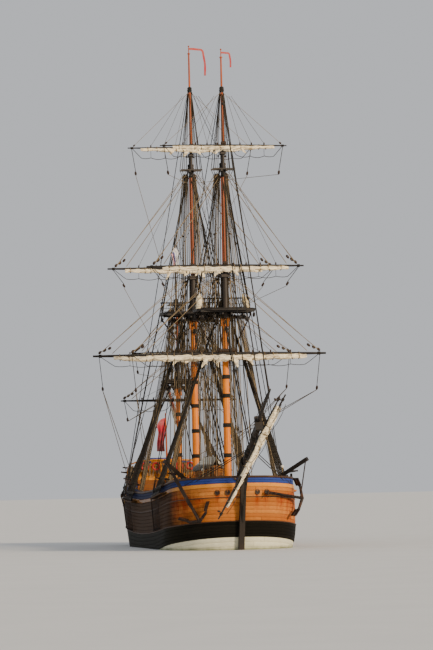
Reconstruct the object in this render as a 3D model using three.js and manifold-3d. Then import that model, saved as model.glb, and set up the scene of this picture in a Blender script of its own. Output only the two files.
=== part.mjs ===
// A three-masted square-rigged sailing ship, moored with its sails furled, as a half-size model.
// X points to the bow, Y to port and Z up. The origin is amidships on the centreline, at the waterline.
// Every table and constant below is in metres of the full-size ship, and M turns them into millimetres here.
import * as THREE from "three";
import { mergeVertices } from "three/addons/utils/BufferGeometryUtils.js";
import Module from "manifold-3d";

const wasm = await Module();
wasm.setup();

const M = 500; // millimetres of the model for one metre of the ship
const GAP = 0.0008; // left between pieces that touch, 0.4 mm in the model

const ship = new THREE.Group();

// Finishes
const paint = (color, roughness = 0.6, metalness = 0) =>
  new THREE.MeshStandardMaterial({ color, roughness, metalness });
const FINISH = {
  bottomPaint: paint(0xe9e6cf, 0.6),
  walePaint: paint(0x14130f, 0.55),
  varnish: paint(0xb8652a, 0.42),
  bluePaint: paint(0x22345c, 0.55),
  deckWood: paint(0x9a8662, 0.8),
  blackPaint: paint(0x15120e, 0.55),
  mastVarnish: paint(0xd0792a, 0.4),
  darkVarnish: paint(0xa84a1c, 0.45),
  iron: paint(0x1b1a19, 0.6, 0.6),
  canvas: paint(0xd9cca6, 0.9),
  cover: paint(0x8f8c80, 0.9),
  rope: paint(0x17130f, 0.85),
  oldWood: paint(0x4a3626, 0.7),
};

// Solids
function solidOf(geometry) {
  const bare = new THREE.BufferGeometry();
  bare.setAttribute("position", geometry.getAttribute("position"));
  bare.setIndex(geometry.index);
  const merged = mergeVertices(bare, 1e-3);
  const positions = new Float32Array(merged.attributes.position.array);
  const made = new wasm.Manifold(
    new wasm.Mesh({
      numProp: 3,
      vertProperties: positions,
      triVerts: new Uint32Array(merged.index.array),
    }),
  );
  return made;
}

function geometryOf(solid) {
  const mesh = solid.getMesh();
  const positions = new Float32Array(mesh.numVert * 3);
  for (let i = 0; i < mesh.numVert; i++) {
    positions.set(mesh.vertProperties.subarray(i * mesh.numProp, i * mesh.numProp + 3), i * 3);
  }
  const geometry = new THREE.BufferGeometry();
  geometry.setAttribute("position", new THREE.BufferAttribute(positions, 3));
  geometry.setIndex(new THREE.BufferAttribute(new Uint32Array(mesh.triVerts), 1));
  geometry.computeVertexNormals();
  return geometry;
}

const join = (...solids) => solids.reduce((all, next) => all.add(next));

// Cuts a solid back so that it stays GAP clear of others, and drops the slivers that come loose.
function clearOf(solid, others) {
  let left = solid;
  const step = GAP * M;
  const ways = [[step, 0, 0], [-step, 0, 0], [0, step, 0], [0, -step, 0], [0, 0, step], [0, 0, -step]];
  for (const other of others) {
    for (const way of ways) left = left.subtract(other.translate(way));
  }
  return left.decompose().reduce((best, next) => (next.volume() > best.volume() ? next : best));
}

// The solid of a piece, as it stands in the ship.
function standing(mesh) {
  mesh.updateWorldMatrix(true, false);
  return solidOf(mesh.geometry.clone().applyMatrix4(mesh.matrixWorld));
}

const standingNodes = (...names) => names.map((name) => standing(ship.getObjectByName(name)));

function piece(name, shape, material, parent = ship) {
  const geometry = shape.isBufferGeometry ? shape : geometryOf(shape);
  const mesh = new THREE.Mesh(geometry, material);
  mesh.name = name;
  parent.add(mesh);
  return mesh;
}

function group(parent, x, y, z, turn = {}) {
  const made = new THREE.Group();
  made.position.set(x * M, y * M, z * M);
  made.rotation.set(turn.x || 0, turn.y || 0, turn.z || 0);
  parent.add(made);
  return made;
}

// A box given by its centre and its lengths along X, Y and Z.
function box(centre, size, turn = {}) {
  const geometry = new THREE.BoxGeometry(size[0] * M, size[1] * M, size[2] * M);
  geometry.rotateX(turn.x || 0);
  geometry.rotateY(turn.y || 0);
  geometry.rotateZ(turn.z || 0);
  geometry.translate(centre[0] * M, centre[1] * M, centre[2] * M);
  return solidOf(geometry);
}

const UP = new THREE.Vector3(0, 1, 0);

// A round bar from one point to another. Its profile is a list of [share of the length, radius].
function bar(from, to, profile, sides = 12, halfTurn = 0) {
  const start = new THREE.Vector3(...from).multiplyScalar(M);
  const end = new THREE.Vector3(...to).multiplyScalar(M);
  const along = end.clone().sub(start);
  const length = along.length();
  const outline = [new THREE.Vector2(0, profile[0][0] * length)];
  for (const [share, radius] of profile) {
    outline.push(new THREE.Vector2(radius * M, share * length));
  }
  outline.push(new THREE.Vector2(0, profile[profile.length - 1][0] * length));
  const geometry = new THREE.LatheGeometry(outline, sides);
  geometry.rotateY(halfTurn * (Math.PI / sides));
  geometry.applyQuaternion(new THREE.Quaternion().setFromUnitVectors(UP, along.normalize()));
  geometry.translate(start.x, start.y, start.z);
  return solidOf(geometry);
}

const rod = (from, to, radius, sides = 8, halfTurn = 0) =>
  bar(from, to, [[0, radius], [1, radius]], sides, halfTurn);

// A plate drawn in X and Z and given a width across Y.
function profilePlate(points, width, centreY = 0) {
  const shape = new THREE.Shape(points.map(([x, z]) => new THREE.Vector2(x * M, z * M)));
  const geometry = new THREE.ExtrudeGeometry(shape, { depth: width * M, bevelEnabled: false });
  geometry.rotateX(Math.PI / 2);
  geometry.translate(0, (centreY + width / 2) * M, 0);
  return solidOf(geometry);
}

// A plate drawn in X and Y and given a thickness up from z.
function levelPlate(points, z, thickness) {
  const shape = new THREE.Shape(points.map(([x, y]) => new THREE.Vector2(x * M, y * M)));
  const geometry = new THREE.ExtrudeGeometry(shape, { depth: thickness * M, bevelEnabled: false });
  geometry.translate(0, 0, z * M);
  return solidOf(geometry);
}

// A solid between two skins. Each section holds two equally long lists of points, left and right.
function skinSolid(sections) {
  const rows = sections[0].left.length;
  const positions = [];
  for (const { left, right } of sections) {
    for (const p of [...left, ...right]) positions.push(p[0] * M, p[1] * M, p[2] * M);
  }
  const at = (section, side, row) => (section * 2 + side) * rows + row;
  const faces = [];
  const quad = (a, b, c, d) => faces.push(a, b, c, a, c, d);
  const last = sections.length - 1;
  for (let s = 0; s < last; s++) {
    for (let r = 0; r < rows - 1; r++) {
      quad(at(s, 0, r), at(s + 1, 0, r), at(s + 1, 0, r + 1), at(s, 0, r + 1));
      quad(at(s, 1, r), at(s, 1, r + 1), at(s + 1, 1, r + 1), at(s + 1, 1, r));
    }
    quad(at(s, 0, rows - 1), at(s + 1, 0, rows - 1), at(s + 1, 1, rows - 1), at(s, 1, rows - 1));
    quad(at(s, 0, 0), at(s, 1, 0), at(s + 1, 1, 0), at(s + 1, 0, 0));
  }
  for (let r = 0; r < rows - 1; r++) {
    quad(at(0, 0, r), at(0, 0, r + 1), at(0, 1, r + 1), at(0, 1, r));
    quad(at(last, 0, r), at(last, 1, r), at(last, 1, r + 1), at(last, 0, r + 1));
  }
  const geometry = new THREE.BufferGeometry();
  geometry.setAttribute("position", new THREE.Float32BufferAttribute(positions, 3));
  geometry.setIndex(faces);
  const made = solidOf(geometry);
  if (made.volume() > 0) return made;
  for (let i = 0; i < faces.length; i += 3) [faces[i], faces[i + 1]] = [faces[i + 1], faces[i]];
  geometry.setIndex(faces);
  return solidOf(geometry);
}

// Hull form, by height above the water. fore and aft are the ends of the planking, half the greatest
// half-breadth, entry the length of the round bow, run that of the narrowing stern, and end the
// half-breadth at the aft end.
const LEVELS = [
  { z: -3.1, fore: 13.4, aft: -14.2, half: 2.3, entry: 6.5, run: 12.0, end: 0.2 },
  { z: -2.7, fore: 14.15, aft: -14.24, half: 3.5, entry: 6.6, run: 12.0, end: 0.2 },
  { z: -2.0, fore: 14.75, aft: -14.32, half: 4.15, entry: 6.5, run: 11.5, end: 0.2 },
  { z: -1.0, fore: 15.1, aft: -14.44, half: 4.5, entry: 6.1, run: 10.5, end: 0.24 },
  { z: 0.0, fore: 15.3, aft: -14.55, half: 4.62, entry: 5.5, run: 9.5, end: 0.45 },
  { z: 1.0, fore: 15.55, aft: -14.66, half: 4.65, entry: 5.0, run: 9.0, end: 1.3 },
  { z: 1.8, fore: 15.78, aft: -14.75, half: 4.65, entry: 4.8, run: 8.5, end: 2.35 },
  { z: 2.6, fore: 16.05, aft: -15.75, half: 4.6, entry: 4.75, run: 9.0, end: 2.95 },
  { z: 3.6, fore: 16.35, aft: -16.15, half: 4.5, entry: 4.75, run: 9.0, end: 3.05 },
  { z: 5.0, fore: 16.7, aft: -16.45, half: 4.32, entry: 4.8, run: 9.0, end: 2.95 },
  { z: 7.0, fore: 17.2, aft: -16.9, half: 4.1, entry: 4.9, run: 9.0, end: 2.7 },
];
const BOW_POWER = 2.15; // how bluff the bow is in plan: 2 would be an ellipse
const HALF_STEM = 0.19;
const STEPS = { bow: 9, middle: 4, run: 7 };
const LAST_STATION = STEPS.bow + STEPS.middle + STEPS.run;

// Heights of the lines that run along the side, by x: the top of the bottom paint, the top of the wale,
// the main deck, the rail, and the top of the bulwark above it.
const SHEER = [
  { x: 16.6, paint: 1.06, wale: 2.08, deck: 3.0, rail: 4.64, cap: 5.06 },
  { x: 13.5, paint: 0.62, wale: 1.72, deck: 2.95, rail: 4.42, cap: 4.88 },
  { x: 10.0, paint: 0.2, wale: 1.42, deck: 2.86, rail: 4.12, cap: 4.62 },
  { x: 5.5, paint: -0.2, wale: 1.14, deck: 2.74, rail: 3.74, cap: 4.24 },
  { x: 0.0, paint: -0.4, wale: 1.02, deck: 2.68, rail: 3.56, cap: 4.06 },
  { x: -5.0, paint: -0.3, wale: 1.16, deck: 2.72, rail: 3.66, cap: 4.16 },
  { x: -11.0, paint: 0.1, wale: 1.6, deck: 2.88, rail: 4.06, cap: 5.1 },
  { x: -17.2, paint: 0.7, wale: 2.32, deck: 3.1, rail: 4.62, cap: 5.9 },
];

function between(table, key, value, column) {
  const rising = table[1][key] > table[0][key];
  let i = 0;
  while (i < table.length - 2 && (rising ? value > table[i + 1][key] : value < table[i + 1][key])) i++;
  const share = (value - table[i][key]) / (table[i + 1][key] - table[i][key]);
  return table[i][column] + (table[i + 1][column] - table[i][column]) * share;
}
const level = (z, column) => between(LEVELS, "z", z, column);
const line = (column) => (x) => between(SHEER, "x", x, column);

// The port outline at one height, at a station counted from the stem, which need not be whole.
function outlinePoint(station, z) {
  const fore = level(z, "fore");
  const aft = level(z, "aft");
  const half = level(z, "half");
  const entry = level(z, "entry");
  const run = level(z, "run");
  const end = level(z, "end");
  if (station <= STEPS.bow) {
    const turn = (Math.max(station, 0) / STEPS.bow) * (Math.PI / 2);
    const across = Math.sin(turn) ** (2 / BOW_POWER);
    const along = Math.max(Math.cos(turn), 0) ** (2 / BOW_POWER);
    return [fore - entry * (1 - along), HALF_STEM + (half - HALF_STEM) * across];
  }
  if (station <= STEPS.bow + STEPS.middle) {
    const share = (station - STEPS.bow) / STEPS.middle;
    return [fore - entry + (aft + run - fore + entry) * share, half];
  }
  const share = (station - STEPS.bow - STEPS.middle) / STEPS.run;
  return [aft + run * (1 - share), end + (half - end) * (1 - share ** 2)];
}

// A point of the hull on a sheer line, moved in from the skin by inset.
function hullPoint(station, heightAt, inset) {
  let z = heightAt(0);
  for (let i = 0; i < 5; i++) z = heightAt(outlinePoint(station, z)[0]);
  const [x, y] = outlinePoint(station, z);
  const step = 0.02;
  const ahead = outlinePoint(Math.max(station - step, 0), z);
  const behind = outlinePoint(Math.min(station + step, LAST_STATION), z);
  const across = new THREE.Vector2(behind[1] - ahead[1], ahead[0] - behind[0]).normalize();
  if (station === 0) across.set(1, 0);
  return [x - across.x * inset, Math.max(y - across.y * inset, HALF_STEM), z];
}

const mirror = ([x, y, z]) => [x, -y, z];

// Evenly spaced rows from one line up to another. A row is [height by x, inset from the skin, depth].
function rowsBetween(low, high, count, inset = 0, depth = 0) {
  const rows = [];
  for (let row = 0; row <= count; row++) {
    rows.push([(x) => low(x) + ((high(x) - low(x)) * row) / count, inset, depth]);
  }
  return rows;
}

// A slice of the whole hull, from side to side.
function hullSlice(rows) {
  const sections = [];
  for (let station = 0; station <= LAST_STATION; station++) {
    const right = rows.map(([heightAt, inset]) => hullPoint(station, heightAt, inset));
    sections.push({ left: right.map(mirror), right });
  }
  return skinSolid(sections);
}

// A wall that follows one side of the hull, from each row's inset in to its depth.
function sideWall(side, rows) {
  const sections = [];
  for (let station = 0; station <= LAST_STATION; station++) {
    const left = rows.map(([heightAt, inset]) => hullPoint(station, heightAt, inset));
    const right = rows.map(([heightAt, , depth]) => hullPoint(station, heightAt, depth));
    sections.push(side > 0 ? { left, right } : { left: left.map(mirror), right: right.map(mirror) });
  }
  return skinSolid(sections);
}

const raised = (heightAt, rise) => (x) => heightAt(x) + rise;
const KEEL_TOP = -3.1;
const BULWARK = 0.16; // thickness of the bulwark below the rail
const WALE_PROUD = 0.06;

// Rudder axis: it follows the sternpost, so that its x is known from its height.
const POST_DEPTH = 0.3;
const RUDDER_RADIUS = 0.14;
const POST_RAKE = (14.75 - 14.2) / (1.8 + 3.1);
const rudderX = (z) => -14.2 - POST_RAKE * (z - KEEL_TOP) - POST_DEPTH - RUDDER_RADIUS - 0.02;
const RUDDER_FOOT = -3.4;
const RUDDER_HEAD = 5.0;
const HEEL_PIN = 0.06; // radius of the pin at the rudder's foot, which turns in the heel of the keel
const HELM_PORT = rod([rudderX(0.5), 0, 0.5], [rudderX(6), 0, 6], 0.3, 16);

// Decks
const FORECASTLE_BREAK = 8.6;
const QUARTER_BREAK = -4.6;
const PLANK = 0.08;
const forecastleDeck = (x) => 3.72 + (x - 16) * 0.03;
const quarterDeck = (x) => 3.3 + (QUARTER_BREAK - x) * 0.066;
const mainDeck = raised(line("deck"), PLANK);

// What stands on the decks. z is the height of an axis or of a boat's bottom.
const WHEEL = { x: -7.42, z: 4.62, radius: 0.62, axle: 0.04, posts: [-7.56, -8.65] };
const CAPSTAN = { x: -6.2, foot: quarterDeck(-6.2) + 0.1 };
const WINDLASS = { x: 7.5, z: 3.62, half: 1.49, pin: 0.09 };
const BOAT = { x: 3.2, z: 4.75, length: 6.2, half: 1.0, depth: 1.05 };
const MAST_BED = 0.1; // height of the bed on which a mast stands above its deck

// Masts. Heights are above the water; the foot is on its deck. The topmast stands ahead of the lower
// masthead, and the topgallant mast ahead of the topmast's.
const MASTS = {
  fore: {
    x: 11.0, foot: forecastleDeck(11.0) + MAST_BED, rake: 0.3,
    cap: 19.5, top: 16.8, radius: 0.27, headRadius: 0.21,
    topmast: { head: 28.25, trees: 27.0, radius: 0.185, headRadius: 0.13 },
    topgallant: { head: 35.1, hounds: 32.7, radius: 0.12, headRadius: 0.06 },
    topWide: 2.12, topLong: 1.35,
  },
  main: {
    x: -2.25, foot: mainDeck(-2.25) + MAST_BED, rake: 0.8,
    cap: 20.35, top: 17.4, radius: 0.28, headRadius: 0.22,
    topmast: { head: 29.7, trees: 28.45, radius: 0.185, headRadius: 0.13 },
    topgallant: { head: 37.45, hounds: 34.6, radius: 0.12, headRadius: 0.06 },
    topWide: 2.4, topLong: 1.4,
  },
  mizzen: {
    x: -9.75, foot: quarterDeck(-9.75) + MAST_BED, rake: 3.0,
    cap: 14.5, top: 12.6, radius: 0.2, headRadius: 0.16,
    topmast: { head: 24.15, trees: 18.7, radius: 0.13, headRadius: 0.05 },
    topWide: 1.2, topLong: 0.85,
  },
};
const TOPMAST_AHEAD = 0.46;
const TOPGALLANT_AHEAD = 0.34;
const MAST_SIDES = 12;

function makeHull() {
  const low = line("paint");
  const high = line("wale");
  const bottom = hullSlice(rowsBetween(() => KEEL_TOP, low, 8));
  piece("hull_bottom", bottom, FINISH.bottomPaint);
  const wale = hullSlice([
    [raised(low, GAP), 0],
    [raised(low, 0.06), -WALE_PROUD],
    [raised(high, -0.06), -WALE_PROUD],
    [high, 0],
  ]);
  piece("hull_wale", wale.subtract(HELM_PORT), FINISH.walePaint);
  const side = hullSlice(rowsBetween(raised(high, GAP), line("deck"), 2));
  piece("hull_side", side.subtract(HELM_PORT), FINISH.varnish);
  return { bottom, wale, side };
}

// Boards along the side. Their top lies below the rail by CHANNEL_TOP.
const CHANNEL_TOP = 0.12;
const CHANNEL_THICK = 0.1;
const CHANNELS = [
  { from: 11.3, to: 6.6, width: 0.5 },
  { from: -2.2, to: -7.6, width: 0.5 },
  { from: -9.9, to: -12.6, width: 0.4 },
];

// The half breadth of the hull's skin at a place along the ship and a height.
function skinAt(x, z) {
  let station = 0;
  while (station < LAST_STATION && outlinePoint(station, z)[0] > x) station += 0.02;
  return outlinePoint(station, z)[1];
}

// The board along the side that spreads the shrouds.
function channel(side, { from, to, width }) {
  const rail = line("rail");
  const sections = [];
  for (const share of [0, 0.04, 0.5, 0.96, 1]) {
    const x = from + (to - from) * share;
    const z = rail(x) - CHANNEL_TOP - CHANNEL_THICK;
    const skin = skinAt(x, z);
    const out = skin + (share > 0 && share < 1 ? width : width * 0.6);
    const edge = (y) => [[x, side * y, z], [x, side * y, z + CHANNEL_THICK]];
    const ends = [edge(skin - 0.08), edge(out)];
    sections.push(side > 0 ? { left: ends[0], right: ends[1] } : { left: ends[1], right: ends[0] });
  }
  return skinSolid(sections);
}

function makeBulwarks() {
  const walls = [];
  const rail = line("rail");
  const cap = line("cap");
  for (const [word, side] of [["port", 1], ["starboard", -1]]) {
    const lower = sideWall(side, rowsBetween(raised(line("deck"), GAP), rail, 2, 0, BULWARK));
    const channels = CHANNELS.map((spec) => channel(side, spec));
    const wall = join(lower, ...channels);
    piece("bulwark_" + word, wall, FINISH.varnish);
    const upper = sideWall(side, [
      [raised(rail, GAP), 0, BULWARK],
      [raised(cap, -0.02), 0, BULWARK],
      [raised(cap, 0), -0.08, 0.2],
      [raised(cap, 0.07), -0.08, 0.2],
    ]);
    piece("upper_bulwark_" + word, upper, FINISH.bluePaint);
    walls.push(wall, upper);
  }
  return walls;
}

// The transom, by [height, half breadth].
const TRANSOM = [[2.5, 2.95], [3.1, 3.12], [3.9, 3.14], [4.7, 3.06], [5.6, 2.9], [6.3, 2.5], [6.9, 1.2]];
function makeTransom(touching) {
  const thick = 0.2;
  const sections = TRANSOM.map(([z, y]) => {
    const x = level(z, "aft") - GAP;
    return { left: [[x - thick, -y, z], [x, -y, z]], right: [[x - thick, y, z], [x, y, z]] };
  });
  const port = rod([rudderX(0.5), 0, 0.5], [rudderX(3), 0, 3], 0.3, 16);
  piece("transom", clearOf(skinSolid(sections).subtract(port), touching), FINISH.bluePaint);
}

function makeKeel(touching) {
  const knots = LEVELS.filter(({ z }) => z <= 5);
  const front = knots.map(({ z, fore }) => [fore + (z < -2.9 ? 0.1 : 0.42), z]);
  const back = knots.map(({ z, fore }) => [fore + GAP, z]);
  const stemHead = [[17.1, 5.28], [16.5, 5.02]];
  const outline = [
    [13.3, KEEL_TOP - 0.42],
    ...front,
    ...stemHead,
    ...back.reverse().slice(1),
    [13.4, KEEL_TOP - GAP],
    [-14.2 - GAP, KEEL_TOP - GAP],
    [-14.75 - GAP, 1.8 - GAP],
    [-14.75 - POST_DEPTH, 1.8 - GAP],
    [-14.2 - POST_DEPTH, KEEL_TOP],
    [-14.43, RUDDER_FOOT - 0.02],
    [-14.78, RUDDER_FOOT - 0.02],
    [-14.78, KEEL_TOP - 0.42],
  ];
  const socketRadius = HEEL_PIN / Math.cos(Math.PI / 16) + 0.0002;
  const socket = rod([rudderX(-4), 0, -4], [rudderX(-3), 0, -3], socketRadius, 16, 1);
  const keel = profilePlate(outline, HALF_STEM * 2).subtract(socket);
  return standing(piece("keel_and_stem", clearOf(keel, touching), FINISH.oldWood));
}

// The inside of the hull above the main deck, between two heights and two places along the ship.
function platform(high, fromX, toX) {
  const whole = hullSlice(rowsBetween(raised(line("deck"), -0.2), high, 1, BULWARK + 0.02));
  return whole.intersect(box([(fromX + toX) / 2, 0, 4], [toX - fromX, 12, 8]));
}

// The raised bed round the foot of a mast or the capstan. Its flat top lies just below the foot.
function bed(x, foot, half, rake = 0) {
  const turn = { y: THREE.MathUtils.degToRad(-rake) };
  return box([x, 0, foot - GAP - 0.15], [half * 2, half * 2, 0.3], turn);
}

function makeDecks(hull) {
  const below = hull.side.translate([0, 0, GAP * M]);
  const { fore, main, mizzen } = MASTS;
  const planks = platform(mainDeck, QUARTER_BREAK + GAP, FORECASTLE_BREAK - GAP);
  const bearing = WINDLASS.pin / Math.cos(Math.PI / 16) + 0.0002;
  const bore = rod([WINDLASS.x, -2, WINDLASS.z], [WINDLASS.x, 2, WINDLASS.z], bearing, 16, 1);
  const bitts = [1, -1].map((s) => box([WINDLASS.x, s * 1.65, 3.35], [0.35, 0.3, 1.5]).subtract(bore));
  const chockHeight = BOAT.z - GAP - 2.7;
  const chocks = [1.4, 5.0].map((x) => box([x, 0, 2.7 + chockHeight / 2], [0.3, 1.3, chockHeight]));
  const hatch = box([3.2, 0, 2.85], [2.6, 2.4, 0.5]);
  const mainBed = bed(main.x, main.foot, 0.5, main.rake);
  const mainAll = join(planks, ...bitts, ...chocks, hatch, mainBed).subtract(below);
  piece("main_deck", mainAll, FINISH.deckWood);
  const foreDeck = platform(forecastleDeck, FORECASTLE_BREAK, 16.6);
  const foreAll = join(foreDeck, bed(fore.x, fore.foot, 0.5, fore.rake)).subtract(below);
  hull.foreDeck = foreAll;
  piece("forecastle_deck", foreAll, FINISH.deckWood);
  const aftDeck = platform(quarterDeck, -17, QUARTER_BREAK).subtract(HELM_PORT);
  const posts = WHEEL.posts.map((x) => {
    const top = WHEEL.z - WHEEL.axle - GAP;
    return box([x, 0, (3.4 + top) / 2], [0.14, 0.3, top - 3.4]);
  });
  const mizzenBed = bed(mizzen.x, mizzen.foot, 0.42, mizzen.rake);
  const capstanBed = bed(CAPSTAN.x, CAPSTAN.foot, 0.55);
  const aftAll = join(aftDeck, ...posts, mizzenBed, capstanBed).subtract(below);
  piece("quarter_deck", aftAll, FINISH.deckWood);
}

// Rudder with its stock and tiller, drawn upright and then leaned to the sternpost's rake.
function makeRudder() {
  const lean = Math.atan(POST_RAKE);
  const turned = group(ship, rudderX(RUDDER_FOOT), 0, RUDDER_FOOT, { y: -lean });
  const height = (RUDDER_HEAD - RUDDER_FOOT) / Math.cos(lean);
  const stock = rod([0, 0, 0], [0, 0, height], RUDDER_RADIUS, 16);
  const bladeOutline = [[0, 0], [0, 5.1], [-0.62, 5.1], [-0.7, 3.9], [-1.05, 3.4], [-1.3, 0.15], [-0.3, 0.1]];
  const blade = profilePlate(bladeOutline, 0.2);
  const pin = rod([0, 0, -0.1], [0, 0, 0.1], HEEL_PIN, 16);
  const head = box([0, 0, height - 0.15], [0.42, 0.42, 0.5]);
  const tiller = bar([0, 0, height - 0.12], [3.3, 0, height - 0.35], [[0, 0.1], [1, 0.05]], 8);
  piece("rudder", join(stock, blade, pin, head, tiller), FINISH.oldWood, turned);
}

function makeWheel() {
  const hub = group(ship, WHEEL.x, 0, WHEEL.z);
  const torus = new THREE.TorusGeometry(WHEEL.radius * M, 0.045 * M, 4, 12);
  torus.rotateY(Math.PI / 2);
  const axle = rod([-1.33, 0, 0], [0.14, 0, 0], WHEEL.axle, 8);
  const drum = rod([-1.05, 0, 0], [-0.32, 0, 0], 0.2, 12);
  const boss = rod([-0.03, 0, 0], [0.1, 0, 0], 0.13, 10);
  const spokes = [];
  for (let i = 0; i < 5; i++) {
    const turn = (i / 5) * Math.PI;
    const y = Math.cos(turn) * 0.86;
    const z = Math.sin(turn) * 0.86;
    spokes.push(rod([0.035, -y, -z], [0.035, y, z], 0.028, 5));
  }
  piece("steering_wheel", join(solidOf(torus), axle, drum, boss, ...spokes), FINISH.darkVarnish, hub);
}

function makeCapstan() {
  const place = group(ship, CAPSTAN.x, 0, CAPSTAN.foot);
  const profile = [[0, 0.42], [0.1, 0.42], [0.14, 0.26], [0.68, 0.32], [0.7, 0.45], [0.94, 0.45], [1, 0.36]];
  piece("capstan", bar([0, 0, 0], [0, 0, 1.1], profile, 12), FINISH.darkVarnish, place);
}

function makeWindlass() {
  const place = group(ship, WINDLASS.x, 0, WINDLASS.z);
  const reach = WINDLASS.half;
  const half = [[0, 0.2], [0.08, 0.24], [0.42, 0.24], [0.43, 0.33]];
  const profile = [...half, ...half.map(([share, radius]) => [1 - share, radius]).reverse()];
  const barrel = bar([0, -reach, 0], [0, reach, 0], profile, 8);
  const pins = rod([0, -1.7, 0], [0, 1.7, 0], WINDLASS.pin, 16);
  piece("windlass_barrel", join(barrel, pins), FINISH.oldWood, place);
}

function makeBoat() {
  const place = group(ship, BOAT.x, 0, BOAT.z);
  const hullSections = [];
  const coverSections = [];
  const steps = 10;
  for (let i = 0; i <= steps; i++) {
    const along = 1 - (2 * i) / steps;
    const fullness = Math.max(1 - Math.abs(along) ** 2.6, 0.06);
    const x = (along * BOAT.length) / 2;
    const wide = BOAT.half * fullness ** 0.6;
    const floor = 0.35 * (Math.max(Math.abs(along) - 0.7, 0) / 0.3) ** 2;
    const sheer = BOAT.depth + 0.2 * along * along;
    const skin = (s) => [
      [x, s * wide * 0.35, floor],
      [x, s * wide * 0.82, floor + 0.32],
      [x, s * wide, sheer],
    ];
    hullSections.push({ left: skin(-1), right: skin(1) });
    const ridge = 0.85 * (1 - 0.35 * along * along);
    const tent = (s) => [
      [x, s * (wide + 0.06), sheer + GAP * 2],
      [x, s * (wide + 0.02), sheer + 0.12],
      [x, s * 0.05, sheer + ridge],
    ];
    coverSections.push({ left: tent(-1), right: tent(1) });
  }
  piece("ship_boat", skinSolid(hullSections), FINISH.varnish, place);
  piece("boat_cover", skinSolid(coverSections), FINISH.cover, place);
}

const mastRadius = (spec, z) =>
  spec.radius + ((spec.headRadius - spec.radius) * (z - spec.foot)) / (spec.cap - spec.foot);
const topmastRadius = (spec, z) => {
  const { radius, headRadius, head } = spec.topmast;
  return radius + ((headRadius - radius) * (z - spec.top)) / (head - spec.top);
};
const topgallantRadius = (spec, z) => {
  const { radius, headRadius, head } = spec.topgallant;
  return radius + ((headRadius - radius) * (z - spec.topmast.trees)) / (head - spec.topmast.trees);
};

// A straight tapered mast, standing at x in its mast's group.
const mastBar = (x, low, high, radiusAt) =>
  bar([x, 0, low], [x, 0, high], [[0, radiusAt(low)], [1, radiusAt(high)]], MAST_SIDES);

// The hole that a mast of the given radius passes, with its corners clear of the mast's.
const boreFor = (x, height, radius) =>
  rod([x, 0, 0], [x, 0, height], radius / Math.cos(Math.PI / MAST_SIDES) + GAP, MAST_SIDES, 1);

// The platform at the head of the lower mast, on its trestletrees and crosstrees.
function topPlatform(spec) {
  const { topWide, topLong } = spec;
  const aft = -topLong * 0.75;
  const fore = topLong * 1.15;
  const corners = [[0.45, 1], [0.8, 0.86], [0.96, 0.55]];
  const edge = (side) => corners.map(([share, wide]) => [fore * share, side * topWide * wide]);
  const outline = [[aft, -topWide], ...edge(-1), [fore, 0], ...edge(1).reverse(), [aft, topWide]];
  const board = levelPlate(outline, 0.16, 0.09);
  const inner = mastRadius(spec, spec.top) + 0.025;
  const hole = box([TOPMAST_AHEAD / 2, 0, 0.2], [TOPMAST_AHEAD + inner * 2.9, inner * 2 + 0.04, 1]);
  const rails = [1, -1].map((s) => box([0.1, s * (inner + 0.07), 0.02], [topLong * 1.6, 0.12, 0.3]));
  const beams = [aft * 0.62, fore * 0.78].map((x) => box([x, 0, 0.1], [0.16, topWide * 1.8, 0.14]));
  return join(board.subtract(hole), ...rails, ...beams);
}

function makeMast(name) {
  const spec = MASTS[name];
  const mast = group(ship, spec.x, 0, spec.foot, { y: THREE.MathUtils.degToRad(-spec.rake) });
  const up = (z) => z - spec.foot;
  const local = (radiusAt) => (z) => radiusAt(spec, z + spec.foot);
  const lower = local(mastRadius);
  const upper = local(topmastRadius);
  const capHeight = 0.28;
  const foot = 0;
  const pole = mastBar(0, foot, up(spec.cap), lower);
  const hounds = [1, -1].map((s) =>
    box([0.02, s * (lower(up(spec.top)) + 0.02), up(spec.top) - 0.53 - GAP], [0.5, 0.13, 0.8]));
  const block = box([TOPMAST_AHEAD / 2, 0, up(spec.cap)], [TOPMAST_AHEAD + 0.56, 0.56, capHeight]);
  const passage = boreFor(TOPMAST_AHEAD, up(spec.cap) + 2, upper(up(spec.cap) - capHeight));
  piece(name + "_lower_mast", join(pole, ...hounds, block).subtract(passage), FINISH.mastVarnish, mast);

  const heel = up(spec.top) - 0.35;
  const head = up(spec.topmast.head);
  const topmast = mastBar(TOPMAST_AHEAD, heel, head, upper);
  const fid = box([TOPMAST_AHEAD, 0, up(spec.top) + 0.3 + GAP], [0.12, 0.78, 0.1]);
  const parts = [topmast, fid];
  const trees = up(spec.topmast.trees);
  const reach = spec.topgallant ? 0.82 : 0.7;
  for (const s of [1, -1]) {
    parts.push(box([TOPMAST_AHEAD + 0.18, s * (upper(trees) + 0.03), trees], [1.0, 0.1, 0.16]));
    parts.push(box([TOPMAST_AHEAD + 0.18 + s * 0.33, 0, trees + 0.1], [0.1, reach * 2, 0.1]));
  }
  if (spec.topgallant) {
    const slim = local(topgallantRadius);
    const x = TOPMAST_AHEAD + TOPGALLANT_AHEAD;
    const capBlock = box([x - TOPGALLANT_AHEAD / 2, 0, head], [TOPGALLANT_AHEAD + 0.44, 0.36, 0.2]);
    const low = trees - 0.28;
    const bore = boreFor(x, head + 2, slim(low));
    const step = box([x - 0.14, 0, low - 0.05 - GAP], [0.56, upper(trees) * 2 + 0.02, 0.1]);
    const solid = join(...parts, capBlock).subtract(bore);
    piece(name + "_topmast", join(solid, step), FINISH.darkVarnish, mast);
    const pole = mastBar(x, low, up(spec.topgallant.head), slim);
    const truck = rod([x, 0, up(spec.topgallant.head)], [x, 0, up(spec.topgallant.head) + 0.08], 0.11, 8);
    piece(name + "_topgallant_mast", join(pole, truck), FINISH.darkVarnish, mast);
  } else {
    piece(name + "_topmast", join(...parts), FINISH.darkVarnish, mast);
  }
  return mast;
}

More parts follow.
